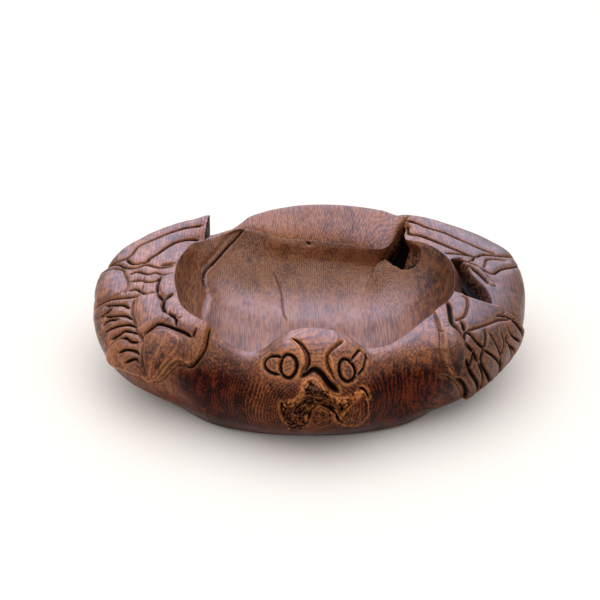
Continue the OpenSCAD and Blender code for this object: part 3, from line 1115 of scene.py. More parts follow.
@dataclass
class RimRegion:
    """A region of the carved rim: an outside sheet, two ends and the seat under it."""

    node: str
    start: float
    end: float
    strokes: list[Stroke]
    patches: list[Patch] = field(default_factory=list)
    slot: str = "carved_wood"
    column_step: float = 0.25
    rows: int = 190
    roll: float = 0.5
    roll_reach: float = 2.6
    chatter: float = 0.25
    chatter_size: float = 6.0

    def tip_side(self) -> float:
        """Which side of the left tip the region lies on."""
        if self.end == LEFT_TIP:
            return -1.0
        return 1.0 if self.start == LEFT_TIP else 0.0

    def surface(self, u: np.ndarray, t: np.ndarray) -> np.ndarray:
        """Places on the region's plain outside."""
        return FORM.outer(u, t, self.tip_side())

    def blank(self) -> tuple[bpy.types.Object, int, int]:
        """Builds the outside sheet with its raised faces, ready for the gouge.

        Returns:
            The sheet, its number of columns and its number of rows.
        """
        columns = round((self.end - self.start) / self.column_step) + 1
        u_line = np.linspace(self.start, self.end, columns)
        t_line = np.linspace(RIM, SEAM, self.rows)
        u, t = (g.ravel() for g in np.meshgrid(u_line, t_line, indexing="ij"))
        place = self.surface(u, t)
        normal = surface_normals(self.surface, u, t, SEAM)
        share = smoothstep(0.0, 0.04, t) * (1 - smoothstep(SEAM - 0.08, SEAM, t))
        height, stain, wear_and_highlight = patch_relief(self.patches, u, t)
        # The cut end of a wing tip gets painted shade: its end face is painted dark.
        for tip in (LEFT_TIP, RIGHT_TIP):
            if tip in (self.start, self.end) and self.slot == "carved_wood":
                stain = np.maximum(stain, 0.9 * (np.abs(u - tip) < self.column_step / 2))
        raised = place + normal * (height * share * MM)[:, None]
        mesh = bpy.data.meshes.new(self.node)
        mesh.from_pydata(raised.tolist(), [], grid_faces(columns, self.rows).tolist())
        # Painted shade low on the hull: this mask darkens the wood and dulls the wax there.
        shelter = 1 - smoothstep(0.020, 0.042, place[:, 2])
        for label, values in (("carve_share", share), ("patch_stain", stain * share),
                              ("patch_wear", wear_and_highlight * share), ("shelter", shelter),
                              ("carve_dir", normal), ("plain", place)):
            mark(mesh, label, values)
        return tidy_object(self.node + "_blank", mesh), columns, self.rows

    def close(self, mesh: bpy.types.Mesh, columns: int, rows: int) -> None:
        """Adds the seat and the two ends to a carved sheet.

        Args:
            mesh: the sheet, changed in place.
            columns: number of its columns.
            rows: number of its rows.
        """
        first = np.arange(columns - 1) * rows
        seat = [(int(a), int(a + rows), int(a + 2 * rows - 1), int(a + rows - 1)) for a in first]
        near_end = list(range(rows - 1, -1, -1))
        far_end = [(columns - 1) * rows + k for k in range(rows)]
        add_faces(mesh, seat + [near_end, far_end])

    def build(self, gouge: GougeTree, finish: bpy.types.Material) -> bpy.types.Object:
        """Carves the region and puts it in place of its CAD node.

        Args:
            gouge: the carving tree.
            finish: the wood.

        Returns:
            The finished piece.
        """
        blank, columns, rows = self.blank()
        strokes = stroke_mesh(self.node + "_strokes", self.strokes, self.surface)
        mesh = gouge.carve(blank, strokes, finish, self.roll, self.roll_reach,
                           self.chatter, self.chatter_size)
        self.close(mesh, columns, rows)
        piece = tidy_object(self.node + "_wood", mesh)
        hand_in(piece, self.node, self.slot)
        return piece


def add_faces(mesh: bpy.types.Mesh, faces: list) -> None:
    """Adds flat faces over a mesh's own vertices and keeps the others smooth.

    Args:
        mesh: the mesh, changed in place.
        faces: lists of vertex numbers.
    """
    old = [tuple(p.vertices) for p in mesh.polygons]
    points = np.empty(len(mesh.vertices) * 3, np.float32)
    mesh.vertices.foreach_get("co", points)
    kept = {}
    for label in ("stain", "grime", "lip", "shelter", "patch_stain"):
        values = np.empty(len(mesh.vertices), np.float32)
        mesh.attributes[label].data.foreach_get("value", values)
        kept[label] = values
    materials = list(mesh.materials)
    mesh.clear_geometry()
    mesh.from_pydata(points.reshape(-1, 3).tolist(), [], old + [tuple(f) for f in faces])
    for label, values in kept.items():
        mark(mesh, label, values)
    smooth = np.zeros(len(mesh.polygons), bool)
    smooth[:len(old)] = True
    mesh.polygons.foreach_set("use_smooth", smooth)
    if not mesh.materials:
        for material in materials:
            mesh.materials.append(material)
    mesh.update()


@dataclass
class BasinBody:
    """The bowl itself: its inside, the seat under the carved rim and the hull."""

    strokes: list[Stroke]
    pockets: list[Patch]
    floor_rows: int = 60
    wall_rows: int = 75
    hull_rows: int = 14

    def angles(self) -> np.ndarray:
        """Section angles, close together where the tail ends and at the wing tips.

        Returns:
            The angles in degrees.
        """
        fine = [(32.0, 58.0, 0.25), (112.0, 136.0, 0.33)]
        plain = [a for a in np.arange(0.0, 360.0, 1.0)
                 if not any(low <= a < high for low, high, _ in fine)]
        extra = [a for low, high, step in fine for a in np.arange(low, high, step)]
        return np.array(sorted(plain + extra))

    def build(self, gouge: GougeTree, finish: bpy.types.Material) -> bpy.types.Object:
        """Builds the body and puts it in place of its CAD node.

        Args:
            gouge: the carving tree.
            finish: the wood.

        Returns:
            The finished piece.
        """
        angles = self.angles()
        count = len(angles)
        inner_t = np.concatenate([np.linspace(0.02, 2.8, self.floor_rows, endpoint=False),
                                  np.linspace(2.8, BASIN_RIM, self.wall_rows)])
        inner_rows = len(inner_t)
        hull_t = np.linspace(SEAM, BASE, self.hull_rows)
        u, t = (g.ravel() for g in np.meshgrid(angles, inner_t, indexing="ij"))
        plain = FORM.basin(u, t)
        normal = -surface_normals(FORM.basin, u, t, BASIN_RIM)
        normal *= np.where(normal[:, 2:3] < -0.2, -1.0, 1.0)
        share = 1 - smoothstep(BASIN_RIM - 0.1, BASIN_RIM, t)
        drop, stain, _ = patch_relief(self.pockets, u, t)
        # A pocket is cut down and outwards, into the wood behind the wall.
        turn = np.radians(u)
        inside = plain + (drop * share * MM)[:, None] * np.stack(
            [-0.6 * np.cos(turn), -0.6 * np.sin(turn), np.full_like(u, 0.8)], -1)
        hu, ht = (g.ravel() for g in np.meshgrid(angles, hull_t, indexing="ij"))
        hull = FORM.outer(hu, ht)
        rows = inner_rows + self.hull_rows

        def column_wise(inner: np.ndarray, outer: np.ndarray) -> np.ndarray:
            """Joins values of the inside and the hull, column by column, with two centres.

            Args:
                inner: values of the inside.
                outer: values of the hull.

            Returns:
                Values of the whole body, zero at its two centres.
            """
            width = inner.shape[1] if inner.ndim == 2 else 1
            both = np.concatenate([inner.reshape(count, -1, width),
                                   outer.reshape(count, -1, width)], 1).reshape(-1, width)
            return np.concatenate([both, np.zeros((2, width))]).reshape(-1, *inner.shape[1:])

        points = column_wise(inside, hull)
        points[-2, 2] = inside[0, 2]
        points[-1, 2] = FORM.foot_height * MM
        i = np.arange(count)
        j = (i + 1) % count
        faces = []
        for k in range(rows - 1):
            a, b = i * rows + k, j * rows + k
            faces.extend(zip(a.tolist(), (a + 1).tolist(), (b + 1).tolist(), b.tolist()))
        top, under = len(points) - 2, len(points) - 1
        faces.extend((top, int(a), int(b)) for a, b in zip(i * rows, j * rows))
        faces.extend((under, int(b), int(a))
                     for a, b in zip(i * rows + rows - 1, j * rows + rows - 1))
        mesh = bpy.data.meshes.new("basin")
        mesh.from_pydata(points.tolist(), [], faces)
        still = np.zeros(len(hull))
        for label, inner, outer in (("carve_share", share, still),
                                    ("patch_stain", stain * share, still),
                                    ("patch_wear", np.zeros_like(share), still),
                                    ("shelter", np.zeros_like(share), still + 1),
                                    ("carve_dir", normal, np.zeros_like(hull)),
                                    ("plain", plain, hull)):
            mark(mesh, label, column_wise(inner, outer))
        blank = tidy_object("basin_blank", mesh)
        strokes = stroke_mesh("basin_strokes", self.strokes, FORM.basin)
        carved = gouge.carve(blank, strokes, finish, roll=0.4, reach=4.0, chatter=0.35,
                             chatter_size=22.0)
        # The seat under the carved rim stays flat.
        smooth = np.ones(len(carved.polygons), bool)
        smooth[np.arange(count) + (inner_rows - 1) * count] = False
        carved.polygons.foreach_set("use_smooth", smooth)
        piece = tidy_object("basin_wood", carved)
        hand_in(piece, "basin", "basin_wood")
        return piece


@dataclass
class Foot:
    """The low round foot, turned with a softened edge."""

    sides: int = 160
    bevel: float = 0.8

    def build(self, finish: bpy.types.Material) -> bpy.types.Object:
        """Turns the foot inside its CAD box and puts it in place of its CAD node.

        Args:
            finish: the wood.

        Returns:
            The finished piece.
        """
        low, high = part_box("foot")
        radius, top = (high[0] - low[0]) / 2, high[2]
        round_off = [(math.cos(a), math.sin(a)) for a in np.linspace(-math.pi / 2, 0, 7)]
        b = self.bevel * MM
        profile = [(radius * 0.9, low[2])] + [(radius - b + b * c, low[2] + b + b * s)
                                             for c, s in round_off] + [(radius, top)]
        points, faces = [], []
        rows = len(profile)
        for i in range(self.sides):
            a = 2 * math.pi * i / self.sides
            points.extend((r * math.cos(a), r * math.sin(a), z) for r, z in profile)
        for i in range(self.sides):
            j = (i + 1) % self.sides
            faces.extend((i * rows + k, j * rows + k, j * rows + k + 1, i * rows + k + 1)
                         for k in range(rows - 1))
        faces.append([i * rows for i in range(self.sides)][::-1])
        faces.append([i * rows + rows - 1 for i in range(self.sides)])
        mesh = bpy.data.meshes.new("foot")
        mesh.from_pydata(points, [], faces)
        smooth = [len(p.vertices) == 4 for p in mesh.polygons]
        mesh.polygons.foreach_set("use_smooth", smooth)
        mesh.materials.append(finish)
        piece = tidy_object("foot_wood", mesh)
        hand_in(piece, "foot", "foot_wood")
        return piece


# ---------------------------------------------------------------- what the carver cut

def cuts(width: float, depth: float, *paths: Path, stain: StainAndShade = StainAndShade.BLACK,
         step: float = 0.0, blunt: bool = False) -> list[Stroke]:
    """Makes strokes of one width and depth along several paths.

    Args:
        width: of each cut in mm.
        depth: in mm, below zero for a ridge.
        *paths: one (angle, station) path for each stroke.
        stain: how dark they are.
        step: how much higher one side stands, in mm.
        blunt: whether they end at full width.

    Returns:
        The strokes.
    """
    return [Stroke(path, width, depth, stain, step, blunt) for path in paths]


# Left wing: the long feathers end at the tip at 133 degrees, the knuckle lies at 168.
LEFT_WING_CUTS = [
    *cuts(2.8, 2.4,
          ((134.5, 1.1), (140, 1.2), (150.5, 1.3), (156, 1.42), (161, 1.4), (163.5, 1.6), (164.5, 2.5)),
          ((136, 0.12), (139, 0.25), (149, 0.55), (158, 0.65), (163, 0.8), (166.5, 0.9)),
          ((163, 1.45), (166, 1.2), (166, 1.0), (164.5, 0.75))),
    *cuts(4.0, 2.8, ((163.5, 0.05), (167, 0.42))),
    *cuts(2.6, 2.0,
          ((165, 2.7), (165, 1.7), (168, 1.3), (168.5, 1.05), (167, 0.8), (168.5, 0.4), (165.5, 0.06)),
          ((172, 1.2), (171, 1.0), (173, 0.7), (172, 0.5), (173.5, 0.3), (172, 0.06)),
          ((176, 1.15), (176.5, 0.9), (178, 0.7), (178, 0.5), (175, 0.33)),
          ((181, 1.2), (181.5, 1.0), (185.5, 0.8), (185.5, 0.55)),
          ((181, 2.5), (182, 1.7), (183, 1.45), (185, 1.15), (185.5, 0.95)),
          ((176, 0.36), (182, 0.46), (187, 0.5))),
    *cuts(2.2, 1.6, ((166, 2.7), (167.5, 1.55), (171.5, 1.3), (177.5, 1.2), (182, 1.3)),
          stain=StainAndShade.BROWN),
    *cuts(2.0, 1.2, ((178, 0.86), (175, 0.78)), ((183.5, 0.9), (180, 0.82)), ((203, 0.6), (201, 0.42)),
          stain=StainAndShade.BROWN),
    *cuts(3.2, 1.6, ((187, 1.15), (193, 1.35), (199.5, 1.56), (206.5, 2.05), (211, 2.65), (214, 3.05)),
          stain=StainAndShade.BROWN),
    *cuts(3.0, 2.4,
          ((206.5, 1.98), (207, 1.45), (208.5, 1.35), (214, 1.45), (219, 1.6), (223, 1.75)),
          ((187, 0.5), (193, 0.43), (197, 0.54), (203, 0.65), (210.5, 0.8), (214.5, 1.3)),
          ((193, 0.43), (189.5, 0.1)),
          ((222.8, 0.95), (223.4, 1.75))),
    *cuts(2.4, 1.6, ((213, 0.6), (211, 0.8)), stain=StainAndShade.BROWN),
    *cuts(2.6, 2.0,
          ((183.5, 1.8), (185.5, 1.56), (187, 1.4), (190, 1.32)),
          ((186, 2.2), (186.5, 1.9), (186, 1.68)),
          ((187.5, 1.95), (190.5, 1.65), (192.5, 1.5), (196, 1.44)),
          ((190, 2.3), (189.5, 2.1), (190, 1.9), (192, 1.7)),
          ((192.5, 2.4), (193.5, 2.0), (196.5, 1.65), (200, 1.56)),
          ((196.5, 2.4), (197.5, 2.1), (198, 1.86), (200, 1.8), (204.5, 1.86)),
          ((198, 2.55), (199.5, 2.2), (202, 2.1), (204, 2.2), (206.5, 2.22)),
          ((203, 2.65), (204.5, 2.5), (207, 2.5), (210, 2.6)),
          ((206, 2.9), (207.5, 2.78), (209, 2.73), (211.5, 2.82)),
          ((210, 2.9), (211.5, 2.95), (213.5, 3.06)), step=0.5),
    # The shadow line under the wing's lower edge and along its leading edge.
    *cuts(1.6, 1.0,
          ((208, 3.3), (214.5, 3.42), (218, 3.26), (221.8, 2.78), (224, 2.7), (227.0, 2.62)),
          stain=StainAndShade.BROWN),
    *cuts(2.2, 1.6, ((225.2, 2.72), (227.6, 2.55), (228.9, 2.0), (227.8, 1.0), (226.4, 0.1))),
    # The ridge of the shoulder leaf.
    *cuts(2.0, -0.9, ((213.8, 1.8), (215.5, 2.4), (215, 3.1)), stain=StainAndShade.NONE),
]
LEFT_WING_FACES = [
    # The whole leading part of the wing, proud of the breast.
    Patch(((200, 3.05), (207, 3.16), (211, 3.2), (214.5, 3.3), (217.5, 3.15), (221, 2.68), (223, 2.6),
           (225.8, 2.6), (227.7, 2.45), (228.2, 1.95), (227, 1.0), (225.4, 0.0), (224, -0.6), (206, -0.6),
           (204, 1.2), (200, 2.2)), 3.8, 1.4),
    # The pointed leaf of the shoulder.
    Patch(((207.5, 2.05), (210, 1.72), (214, 1.72), (220.5, 2.15), (219, 2.75), (214.5, 3.25), (211, 2.9)),
          1.8, 1.2, 1.4),
    Patch(((166.5, 1.75), (171, 1.42), (176, 1.28), (180.5, 1.3), (181.5, 1.65), (179.5, 2.2),
           (172, 2.5), (167, 2.3)), 0.6, 1.6, 1.2),
    Patch(((187.5, 1.11), (186.5, 0.81), (187.5, 0.57), (196.5, 0.57), (203, 0.72), (209, 0.9), (208.5, 1.3),
           (206.5, 1.44), (205.5, 1.85), (199.5, 1.5)), 0.8, 1.6, 0.8),
    Patch(((181, 0.42), (176.5, 0.33), (173, 0.06), (188, 0.06), (190.5, 0.33)), 0.5, 1.2, 0.6),
]

# Right wing: the angles run on past 360 to the tip at 411 degrees.
RIGHT_WING_CUTS = [
    *cuts(2.6, 2.4,
          ((410.6, 0.66), (407, 0.92), (403.5, 1.06), (396, 1.0), (389.5, 0.94), (385, 0.99), (381, 1.12),
           (378, 1.38)),
          ((409.5, 0.1), (405.5, 0.2), (399.5, 0.42), (393.5, 0.32), (386, 0.36), (380.5, 0.5), (376.5, 0.73),
           (377.5, 1.0), (377.5, 1.53), (378.5, 1.95), (377, 2.3)),
          ((382.5, 0.06), (379.5, 0.42), (376.8, 0.7))),
    *cuts(2.2, 1.8,
          ((377, 0.2), (372.5, 0.43), (369.5, 0.75), (367, 1.1), (370.5, 1.4), (376, 2.2)),
          ((369.5, 0.75), (365, 0.97), (361.5, 1.18)),
          ((371, 0.27), (370, 0.45), (367, 0.62), (361, 1.0)),
          ((372.5, 0.43), (374.5, 0.62), (376.8, 0.74))),
    *cuts(2.6, 1.4, ((369, 0.85), (372, 0.95), (375, 1.1), (375.6, 1.6)), stain=StainAndShade.BROWN),
    # The deep cuts between the rows of small feathers.
    *cuts(4.0, 3.1,
          ((340, 0.04), (333.3, 0.5), (329.5, 0.98), (329.5, 1.33), (329, 1.75)),
          ((333, 1.05), (332.5, 1.25), (331.2, 1.5), (332, 1.6), (332.5, 1.9), (333.5, 2.23), (332, 2.6),
           (334, 3.18), (339.5, 3.95)),
          ((329.5, 1.88), (330.5, 2.23), (331, 2.6)),
          ((328, 2.4), (329, 2.88), (332.5, 3.55), (335.5, 4.1)),
          ((325, 2.98), (327, 3.2), (329.2, 3.6), (331.5, 4.12))),
    *cuts(2.9, 2.3,
          ((337, 1.65), (335.5, 1.95), (333.5, 2.27)),
          ((337.5, 1.78), (337.5, 2.12), (338, 2.62), (339, 3.15), (343, 3.85)),
          ((333.5, 2.27), (336.5, 2.75), (341.5, 3.85)),
          ((341, 1.9), (340, 2.4), (338.2, 2.8)),
          ((342, 2.1), (341.5, 2.5), (347.5, 3.4)),
          ((344.5, 1.9), (344, 2.3), (348, 2.95)),
          ((341.5, 2.5), (344, 3.3), (345, 3.7)),
          ((347.5, 1.85), (348.5, 2.4), (350.5, 3.0)),
          ((345, 1.5), (347.5, 1.8), (350, 2.7)),
          ((349.5, 1.5), (351.5, 2.7)),
          ((331, 2.6), (334, 3.6), (337.5, 4.1)),
          ((330.5, 2.23), (329.3, 2.5), (328.6, 2.7)),
          ((331.2, 1.5), (330, 1.7), (329.3, 1.88))),
    *cuts(2.6, 1.8,
          ((347, 0.3), (346.5, 0.5), (341, 0.73), (335.5, 0.95), (331, 0.97)),
          ((331.5, 1.5), (336.5, 1.52), (343, 1.6), (347.5, 1.86)), stain=StainAndShade.BROWN),
    *cuts(2.0, 1.4,
          ((329, 1.95), (327.3, 2.5), (325.2, 2.98)),
          ((344, 1.5), (348.5, 1.62)), ((345.5, 1.72), (349.5, 2.0)), stain=StainAndShade.BROWN),
    # The thin step from the shoulder feathers down to the breast, and the wing's lower border, cut shallow
    # with painted shadow in brown.
    *cuts(1.2, 0.5, ((327.0, 0.1), (325.0, 0.6), (322.5, 1.65), (321.0, 2.4), (321.8, 2.8)),
          stain=StainAndShade.BROWN),
    *cuts(1.6, 0.9, ((318.5, 2.93), (322.5, 3.02), (326, 3.34), (330.8, 4.15)), stain=StainAndShade.BROWN),
]
RIGHT_WING_FACES = [
    # The deep recess behind the shoulder, painted black as shade, and the thin ridge that runs through it.
    Patch(((377, 0.16), (368.5, -0.4), (358.5, -0.4), (350.5, -0.4), (349, 0.5), (349, 1.15), (352.5, 1.15),
           (357.5, 0.92), (364, 0.5), (372.5, 0.3)), -10.0, 2.4, stain=1.0),
    Patch(((371, 0.12), (362, 0.22), (355, 0.5), (351, 0.85), (351.5, 0.95), (356, 0.62),
           (363, 0.32)), 3.5, 1.6),
    # The leaf beside it.
    Patch(((377, 0.22), (375, 0.5), (368, 0.83), (361.5, 1.18), (361, 1.0), (367, 0.62),
           (371, 0.27)), 0.6, 1.2, 1.0),
    # The whole leading part of the wing, proud of the breast.
    Patch(((349.5, -0.4), (348, 0.5), (347.8, 0.8), (348.6, 1.2), (350, 1.5), (351.5, 2.7), (349, 3.4),
           (338, 4.3), (333, 4.4), (331.5, 4.15), (327, 3.28), (325, 3.02), (323, 2.85), (321.6, 2.48),
           (323.2, 1.65), (325.5, 0.6), (327.5, 0.08), (329, -0.5)), 2.8, 1.0),
    # Its first long leaf.
    Patch(((324.2, 1.3), (326.5, 1.2), (328.6, 1.45), (328.5, 2.08), (327, 2.55), (325, 2.93), (323, 2.7),
           (322.4, 2.3)), 1.1, 1.0, 1.2),
]

# The face looks out at 270 degrees.
FACE_CUTS = [
    *cuts(5.2, 2.2, ((263, 0.95), (266, 1.3), (268.3, 1.75), (269.2, 2.1), (268.3, 2.28), (267, 2.42)),
          stain=StainAndShade.BROWN),
    *cuts(2.8, 2.0, ((263, 0.9), (266.4, 1.26), (268.8, 1.72), (269.9, 2.12), (269.2, 2.26), (268.2, 2.36))),
    *cuts(4.2, 2.0, ((283.5, 0.9), (279.5, 1.55), (276.8, 1.9), (276, 2.12), (276.5, 2.3), (278, 2.46)),
          stain=StainAndShade.BROWN),
    *cuts(2.4, 1.6, ((283.3, 0.98), (279.6, 1.56), (276.9, 1.9), (276, 2.12), (276.8, 2.32), (278.4, 2.54))),
    *cuts(3.8, 2.4,
          ((259.7, 2.25), (260.5, 2.08), (262.2, 2.0), (264.5, 2.06), (265.6, 2.24), (264.6, 2.42),
           (262.5, 2.5), (260.3, 2.42), (259.7, 2.25)),
          ((280, 2.33), (281, 2.16), (283.2, 2.08), (285.4, 2.18), (286, 2.34), (284.8, 2.5), (282.6, 2.56),
           (280.6, 2.48), (280, 2.33)), blunt=True),
    *cuts(3.5, 2.2, ((260.2, 2.12), (257.5, 1.98), (255, 1.82), (253.4, 2.02), (254, 2.22), (256.5, 2.38),
                     (260, 2.46))),
    *cuts(3.0, 2.0, ((285, 2.12), (288, 1.5), (290.2, 0.98), (291.6, 1.35), (291, 1.8), (289.4, 2.2),
                     (286.4, 2.42))),
    *cuts(1.6, -0.8, ((262.4, 1.0), (265.3, 1.42), (267.0, 1.85), (267.7, 2.2)),
          ((277.9, 1.9), (277.3, 2.15), (278.4, 2.38)), stain=StainAndShade.NONE),
    # The deep channel across the bridge of the nose.
    *cuts(6.0, 3.4, ((266.8, 2.46), (268.8, 2.37), (271.5, 2.3), (274, 2.4), (276.5, 2.6), (279.5, 2.76))),
    *cuts(3.2, 2.4, ((260.8, 2.98), (261.0, 3.3), (262.8, 3.78)),
          ((286.5, 2.66), (288.5, 2.74), (290, 2.97))),
    *cuts(1.8, 1.2, ((290, 3.5), (289.3, 3.8))),
    # The mouth.
    *cuts(3.4, 2.6, ((269.8, 3.5), (270, 3.2), (271.4, 3.04), (273.2, 2.97), (276, 3.06), (278.8, 3.34))),
    *cuts(3.0, 2.2, ((279, 3.33), (280.8, 3.15), (282.3, 3.02)),
          ((278.6, 3.34), (279.6, 3.6), (282, 3.8), (285, 3.92), (288, 3.93))),
    *cuts(1.8, 1.2, ((263, 3.82), (266.5, 3.84), (269, 3.65), (269.8, 3.45)), stain=StainAndShade.BROWN),
    # The lit ridges of the nose and of the right cheek stand up.
    *cuts(1.5, -1.4, ((261.8, 3.0), (265.5, 2.9), (267.4, 2.74), (268, 2.58), (270.5, 2.47), (273, 2.54),
                      (275, 2.7), (278, 2.86), (281.5, 2.9), (284, 2.82), (287.4, 2.74)),
          ((282.6, 3.0), (285.5, 2.86), (287.5, 2.76), (289, 2.92)), stain=StainAndShade.NONE),
    # Rough marks on the nose.
    *cuts(1.4, 0.6, ((268, 2.9), (269.5, 3.1)), ((271, 2.66), (272, 2.86)), ((274, 2.76), (275.5, 2.94)),
          ((265, 3.2), (266.5, 3.5)), ((277, 2.95), (279.5, 3.05)), ((284, 3.1), (286.5, 3.5)),
          ((282, 3.35), (284, 3.65)), ((271.8, 3.25), (273, 3.55)), ((274.5, 3.2), (275.5, 3.5)),
          stain=StainAndShade.BROWN),
]
FACE_FACES = [
    Patch(((270.5, 2.46), (275, 2.68), (278, 2.86), (283, 2.88), (281, 3.1), (278.6, 3.32), (273.2, 3.0),
           (270.2, 3.2), (269.5, 3.6), (266.5, 3.85), (263, 3.82), (261.6, 3.02), (265.5, 2.88),
           (267.8, 2.66)), 2.6, 1.2, 1.6, stain=0.62),
    Patch(((271, 3.3), (273.5, 3.1), (276.5, 3.3), (277.5, 3.6), (274, 3.8), (271, 3.62)),
          0.6, 1.0, 1.2, stain=0.4),
    Patch(((283, 3.0), (287.3, 2.78), (289.6, 3.1), (289.2, 3.6), (286, 3.85), (280.5, 3.6), (279.8, 3.35)),
          1.4, 1.4, 1.6, stain=0.3),
]

# The tail has one old crack.
TAIL_CUTS = cuts(1.2, 0.3, ((69.5, 0.95), (68, 0.7), (66.3, 0.38)), stain=StainAndShade.BROWN)

# Inside the bowl, by basin station: the tail's edge runs down into the basin, old cracks, a knot.
BASIN_CUTS = [
    *cuts(2.2, 1.4, ((118.5, 3.97), (121, 3.75), (125, 3.53), (136, 3.06), (144, 2.86), (149, 2.7),
                     (151, 2.52)), step=1.2),
    # A broad faint stroke paints shade beside the tail's edge.
    *cuts(7.0, 1.0, ((119, 4.0), (123, 3.84), (128, 3.58), (137, 3.22), (144, 3.02)), stain=StainAndShade.FAINT),
    # A smooth hollow runs on along the foot of the wall.
    *cuts(9.0, 1.0, ((152.5, 2.48), (163, 2.38), (179, 2.37), (187, 2.5)), stain=StainAndShade.NONE),
    *cuts(2.6, 0.5, ((111, 2.58), (110.5, 2.19), (111, 1.77), (118.5, 0.87)), stain=StainAndShade.BROWN),
    *cuts(1.6, 0.3, ((131, 1.17), (154, 0.72)), stain=StainAndShade.FAINT),
    *cuts(3.2, 1.4, ((89.6, 3.82), (90.6, 3.86)), blunt=True),
]
# The pockets under the right wing tip are painted dark as the shade in the undercut.
BASIN_POCKETS = [
    Patch(((53.5, 3.99), (55.5, 3.82), (55.0, 3.58), (51.5, 3.28), (46.5, 3.1), (42.5, 3.04), (42.0, 3.5),
           (42.4, 3.97)), -14.0, 2.4, stain=1.0),
    Patch(((43.0, 3.95), (42.4, 3.5), (42.6, 3.03), (38, 2.97), (34.5, 3.12), (33.4, 3.4), (34.5, 3.72),
           (38, 3.86)), -8.0, 2.6, stain=0.4),
]


def carved_regions() -> list[RimRegion]:
    """The wings and the face, each cut by its own seams.

    Returns:
        The regions in the order in which they are carved.
    """
    left = {"strokes": LEFT_WING_CUTS, "patches": LEFT_WING_FACES, "rows": 200, "roll": 0.75,
            "roll_reach": 3.0}
    right = {"strokes": RIGHT_WING_CUTS, "patches": RIGHT_WING_FACES, "rows": 205, "roll": 0.6}
    saddle = {"column_step": 0.3, "chatter": 0.3, "chatter_size": 18.0}
    return [
        RimRegion("left_primaries", LEFT_TIP, 168.0, **left),
        RimRegion("left_coverts", 168.0, 224.0, **left),
        RimRegion("left_breast", 224.0, 248.0, **(left | saddle)),
        RimRegion("right_breast", 292.0, 324.0, **(right | saddle)),
        RimRegion("right_coverts", 324.0, 376.0, **right),
        RimRegion("right_primaries", 376.0, RIGHT_TIP, **right),
        RimRegion("head", 248.0, 292.0, strokes=FACE_CUTS, patches=FACE_FACES, column_step=0.22,
                  rows=230, roll=0.3, roll_reach=2.0, chatter=0.15),
        RimRegion("tail", 51.0, LEFT_TIP, slot="basin_wood", column_step=0.4, rows=150,
                  strokes=TAIL_CUTS, chatter=0.4, chatter_size=20.0),
    ]


# ---------------------------------------------------------------- the stage

@dataclass(frozen=True)
class SoftBox:
    """One soft box.

    Attributes:
        name: its name.
        place: where it hangs, in metres.
        size: its width and height in metres.
        power: its power in watts.
        colour: its colour as sRGB hex.
        sheen_only: whether it only shows as a sheen on the wax.
    """

    name: str
    place: tuple[float, float, float]
    size: tuple[float, float]
    power: float
    colour: str
    sheen_only: bool = False


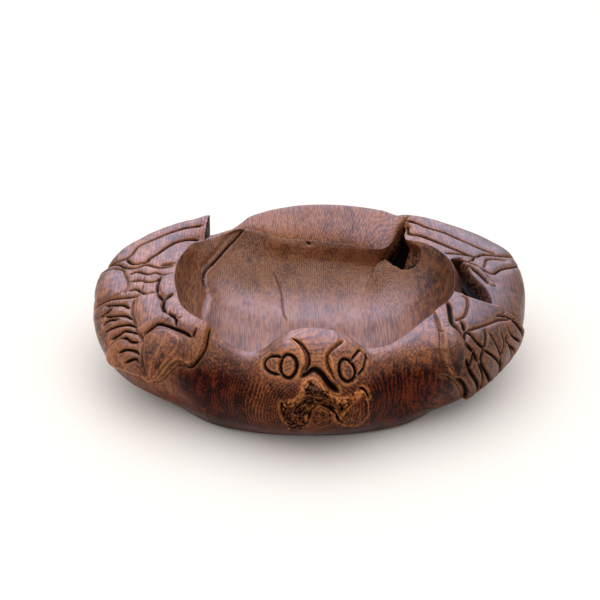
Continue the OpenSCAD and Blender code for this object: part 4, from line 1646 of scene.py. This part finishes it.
@dataclass
class Studio:
    """A pale floor, soft light and the camera."""

    boxes: tuple[SoftBox, ...] = (
        SoftBox("back_box", (0.0, 1.5, 1.3), (2.6, 1.8), 58.0, "#dfdbff", sheen_only=True),
        SoftBox("over_box", (0.0, 0.45, 1.45), (3.4, 1.3), 40.0, "#d9d6ff", sheen_only=True),
        SoftBox("top_box", (-0.1, -0.12, 1.6), (3.0, 3.0), 21.0, "#ffffff"),
    )
    aim: tuple[float, float, float] = (0.0, 0.0, 0.05)
    daylight: float = 0.84

    distance: float = 1.15
    elevation: float = 30.0
    lens: float = 98.9
    sensor: float = 36.0
    target: tuple[float, float, float] = (-0.0063, 0.0, 0.056)

    def camera(self) -> None:
        """Sets the camera at its viewing angle."""
        data = bpy.data.cameras.new("camera")
        data.lens, data.sensor_width = self.lens, self.sensor
        made = bpy.data.objects.new("camera", data)
        bpy.context.collection.objects.link(made)
        tilt = math.radians(self.elevation)
        x, y, z = self.target
        made.location = (x, y - self.distance * math.cos(tilt), z + self.distance * math.sin(tilt))
        made.rotation_euler = (math.pi / 2 - tilt, 0.0, 0.0)
        bpy.context.scene.camera = made

    def floor(self) -> None:
        """Lays the pale floor that curves up behind the bowl."""
        profile = [(-3.0, 0.0), (1.2, 0.0)]
        profile += [(1.2 + math.sin(a), 1 - math.cos(a)) for a in np.linspace(0.1, math.pi / 2, 14)]
        profile.append((2.2, 4.0))
        points = [(x, y, z) for y, z in profile for x in (-4.0, 4.0)]
        faces = [(2 * k, 2 * k + 1, 2 * k + 3, 2 * k + 2) for k in range(len(profile) - 1)]
        mesh = bpy.data.meshes.new("floor")
        mesh.from_pydata(points, [], faces)
        mesh.polygons.foreach_set("use_smooth", [True] * len(faces))
        # Matt white paper, a little warm.
        paper = bpy.data.materials.new("white_paper_sweep")
        paper.use_nodes = True
        shader = paper.node_tree.nodes["Principled BSDF"]
        shader.inputs["Base Color"].default_value = linear("#faf5f0")
        shader.inputs["Roughness"].default_value = 0.9
        shader.inputs["Specular IOR Level"].default_value = 0.1
        mesh.materials.append(paper)
        tidy_object("floor", mesh)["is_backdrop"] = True

    def hang(self, box: SoftBox) -> None:
        """Hangs one soft box, turned to the bowl.

        Args:
            box: what it is.
        """
        data = bpy.data.lights.new(box.name, "AREA")
        data.shape, data.size, data.energy = "RECTANGLE", box.size[0], box.power
        data.size_y = box.size[1]
        data.color = linear(box.colour)[:3]
        made = bpy.data.objects.new(box.name, data)
        bpy.context.collection.objects.link(made)
        made.location = box.place
        made.rotation_euler = (Vector(self.aim) - Vector(box.place)).to_track_quat("-Z", "Y").to_euler()
        made.visible_diffuse = not box.sheen_only

    def build(self) -> None:
        """Sets up the camera, the floor and the lights."""
        self.camera()
        self.floor()
        world = bpy.data.worlds.new("studio")
        world.use_nodes = True
        sky = world.node_tree.nodes["Background"].inputs
        sky[0].default_value, sky[1].default_value = linear("#fafafb"), self.daylight
        bpy.context.scene.world = world
        for box in self.boxes:
            self.hang(box)
        bpy.context.scene.view_settings.view_transform = "Standard"


def main() -> None:
    """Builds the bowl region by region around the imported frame."""
    logging.basicConfig(level=logging.INFO, format="%(message)s")
    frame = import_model()
    cad_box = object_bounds()
    LOG.info("frame: %d nodes", len(frame["nodes"]))
    FORM.fit(*cad_box)
    wood = RosewoodFinish("waxed_rosewood_carved").material()
    # The smooth parts are paler and finer grained, and the basin is polished most.
    smooth = {"pale": "#94603c", "middle": "#6a3d27", "ring_mm": 1.4}
    inside = RosewoodFinish("waxed_rosewood_basin", roughness=0.34, shine=0.5, **smooth).material()
    tail = RosewoodFinish("waxed_rosewood_tail", shine=0.2, **smooth).material()
    # The face has brighter orange pale edges: rubbing and painted highlight.
    face = RosewoodFinish("waxed_rosewood_face", worn_and_lit="#dd8a4c", wear_and_highlight=0.8).material()
    # The foot is darker than the bowl.
    dark = RosewoodFinish("stained_rosewood_foot", pale="#3c2218", middle="#2a160f",
                          dark="#180c08").material()
    gouge = GougeTree()
    BasinBody(BASIN_CUTS, BASIN_POCKETS).build(gouge, inside)
    Foot().build(dark)
    for region in carved_regions():
        region.build(gouge, {"head": face, "tail": tail}.get(region.node, wood))
    Studio().build()


if __name__ == "__main__":
    main()
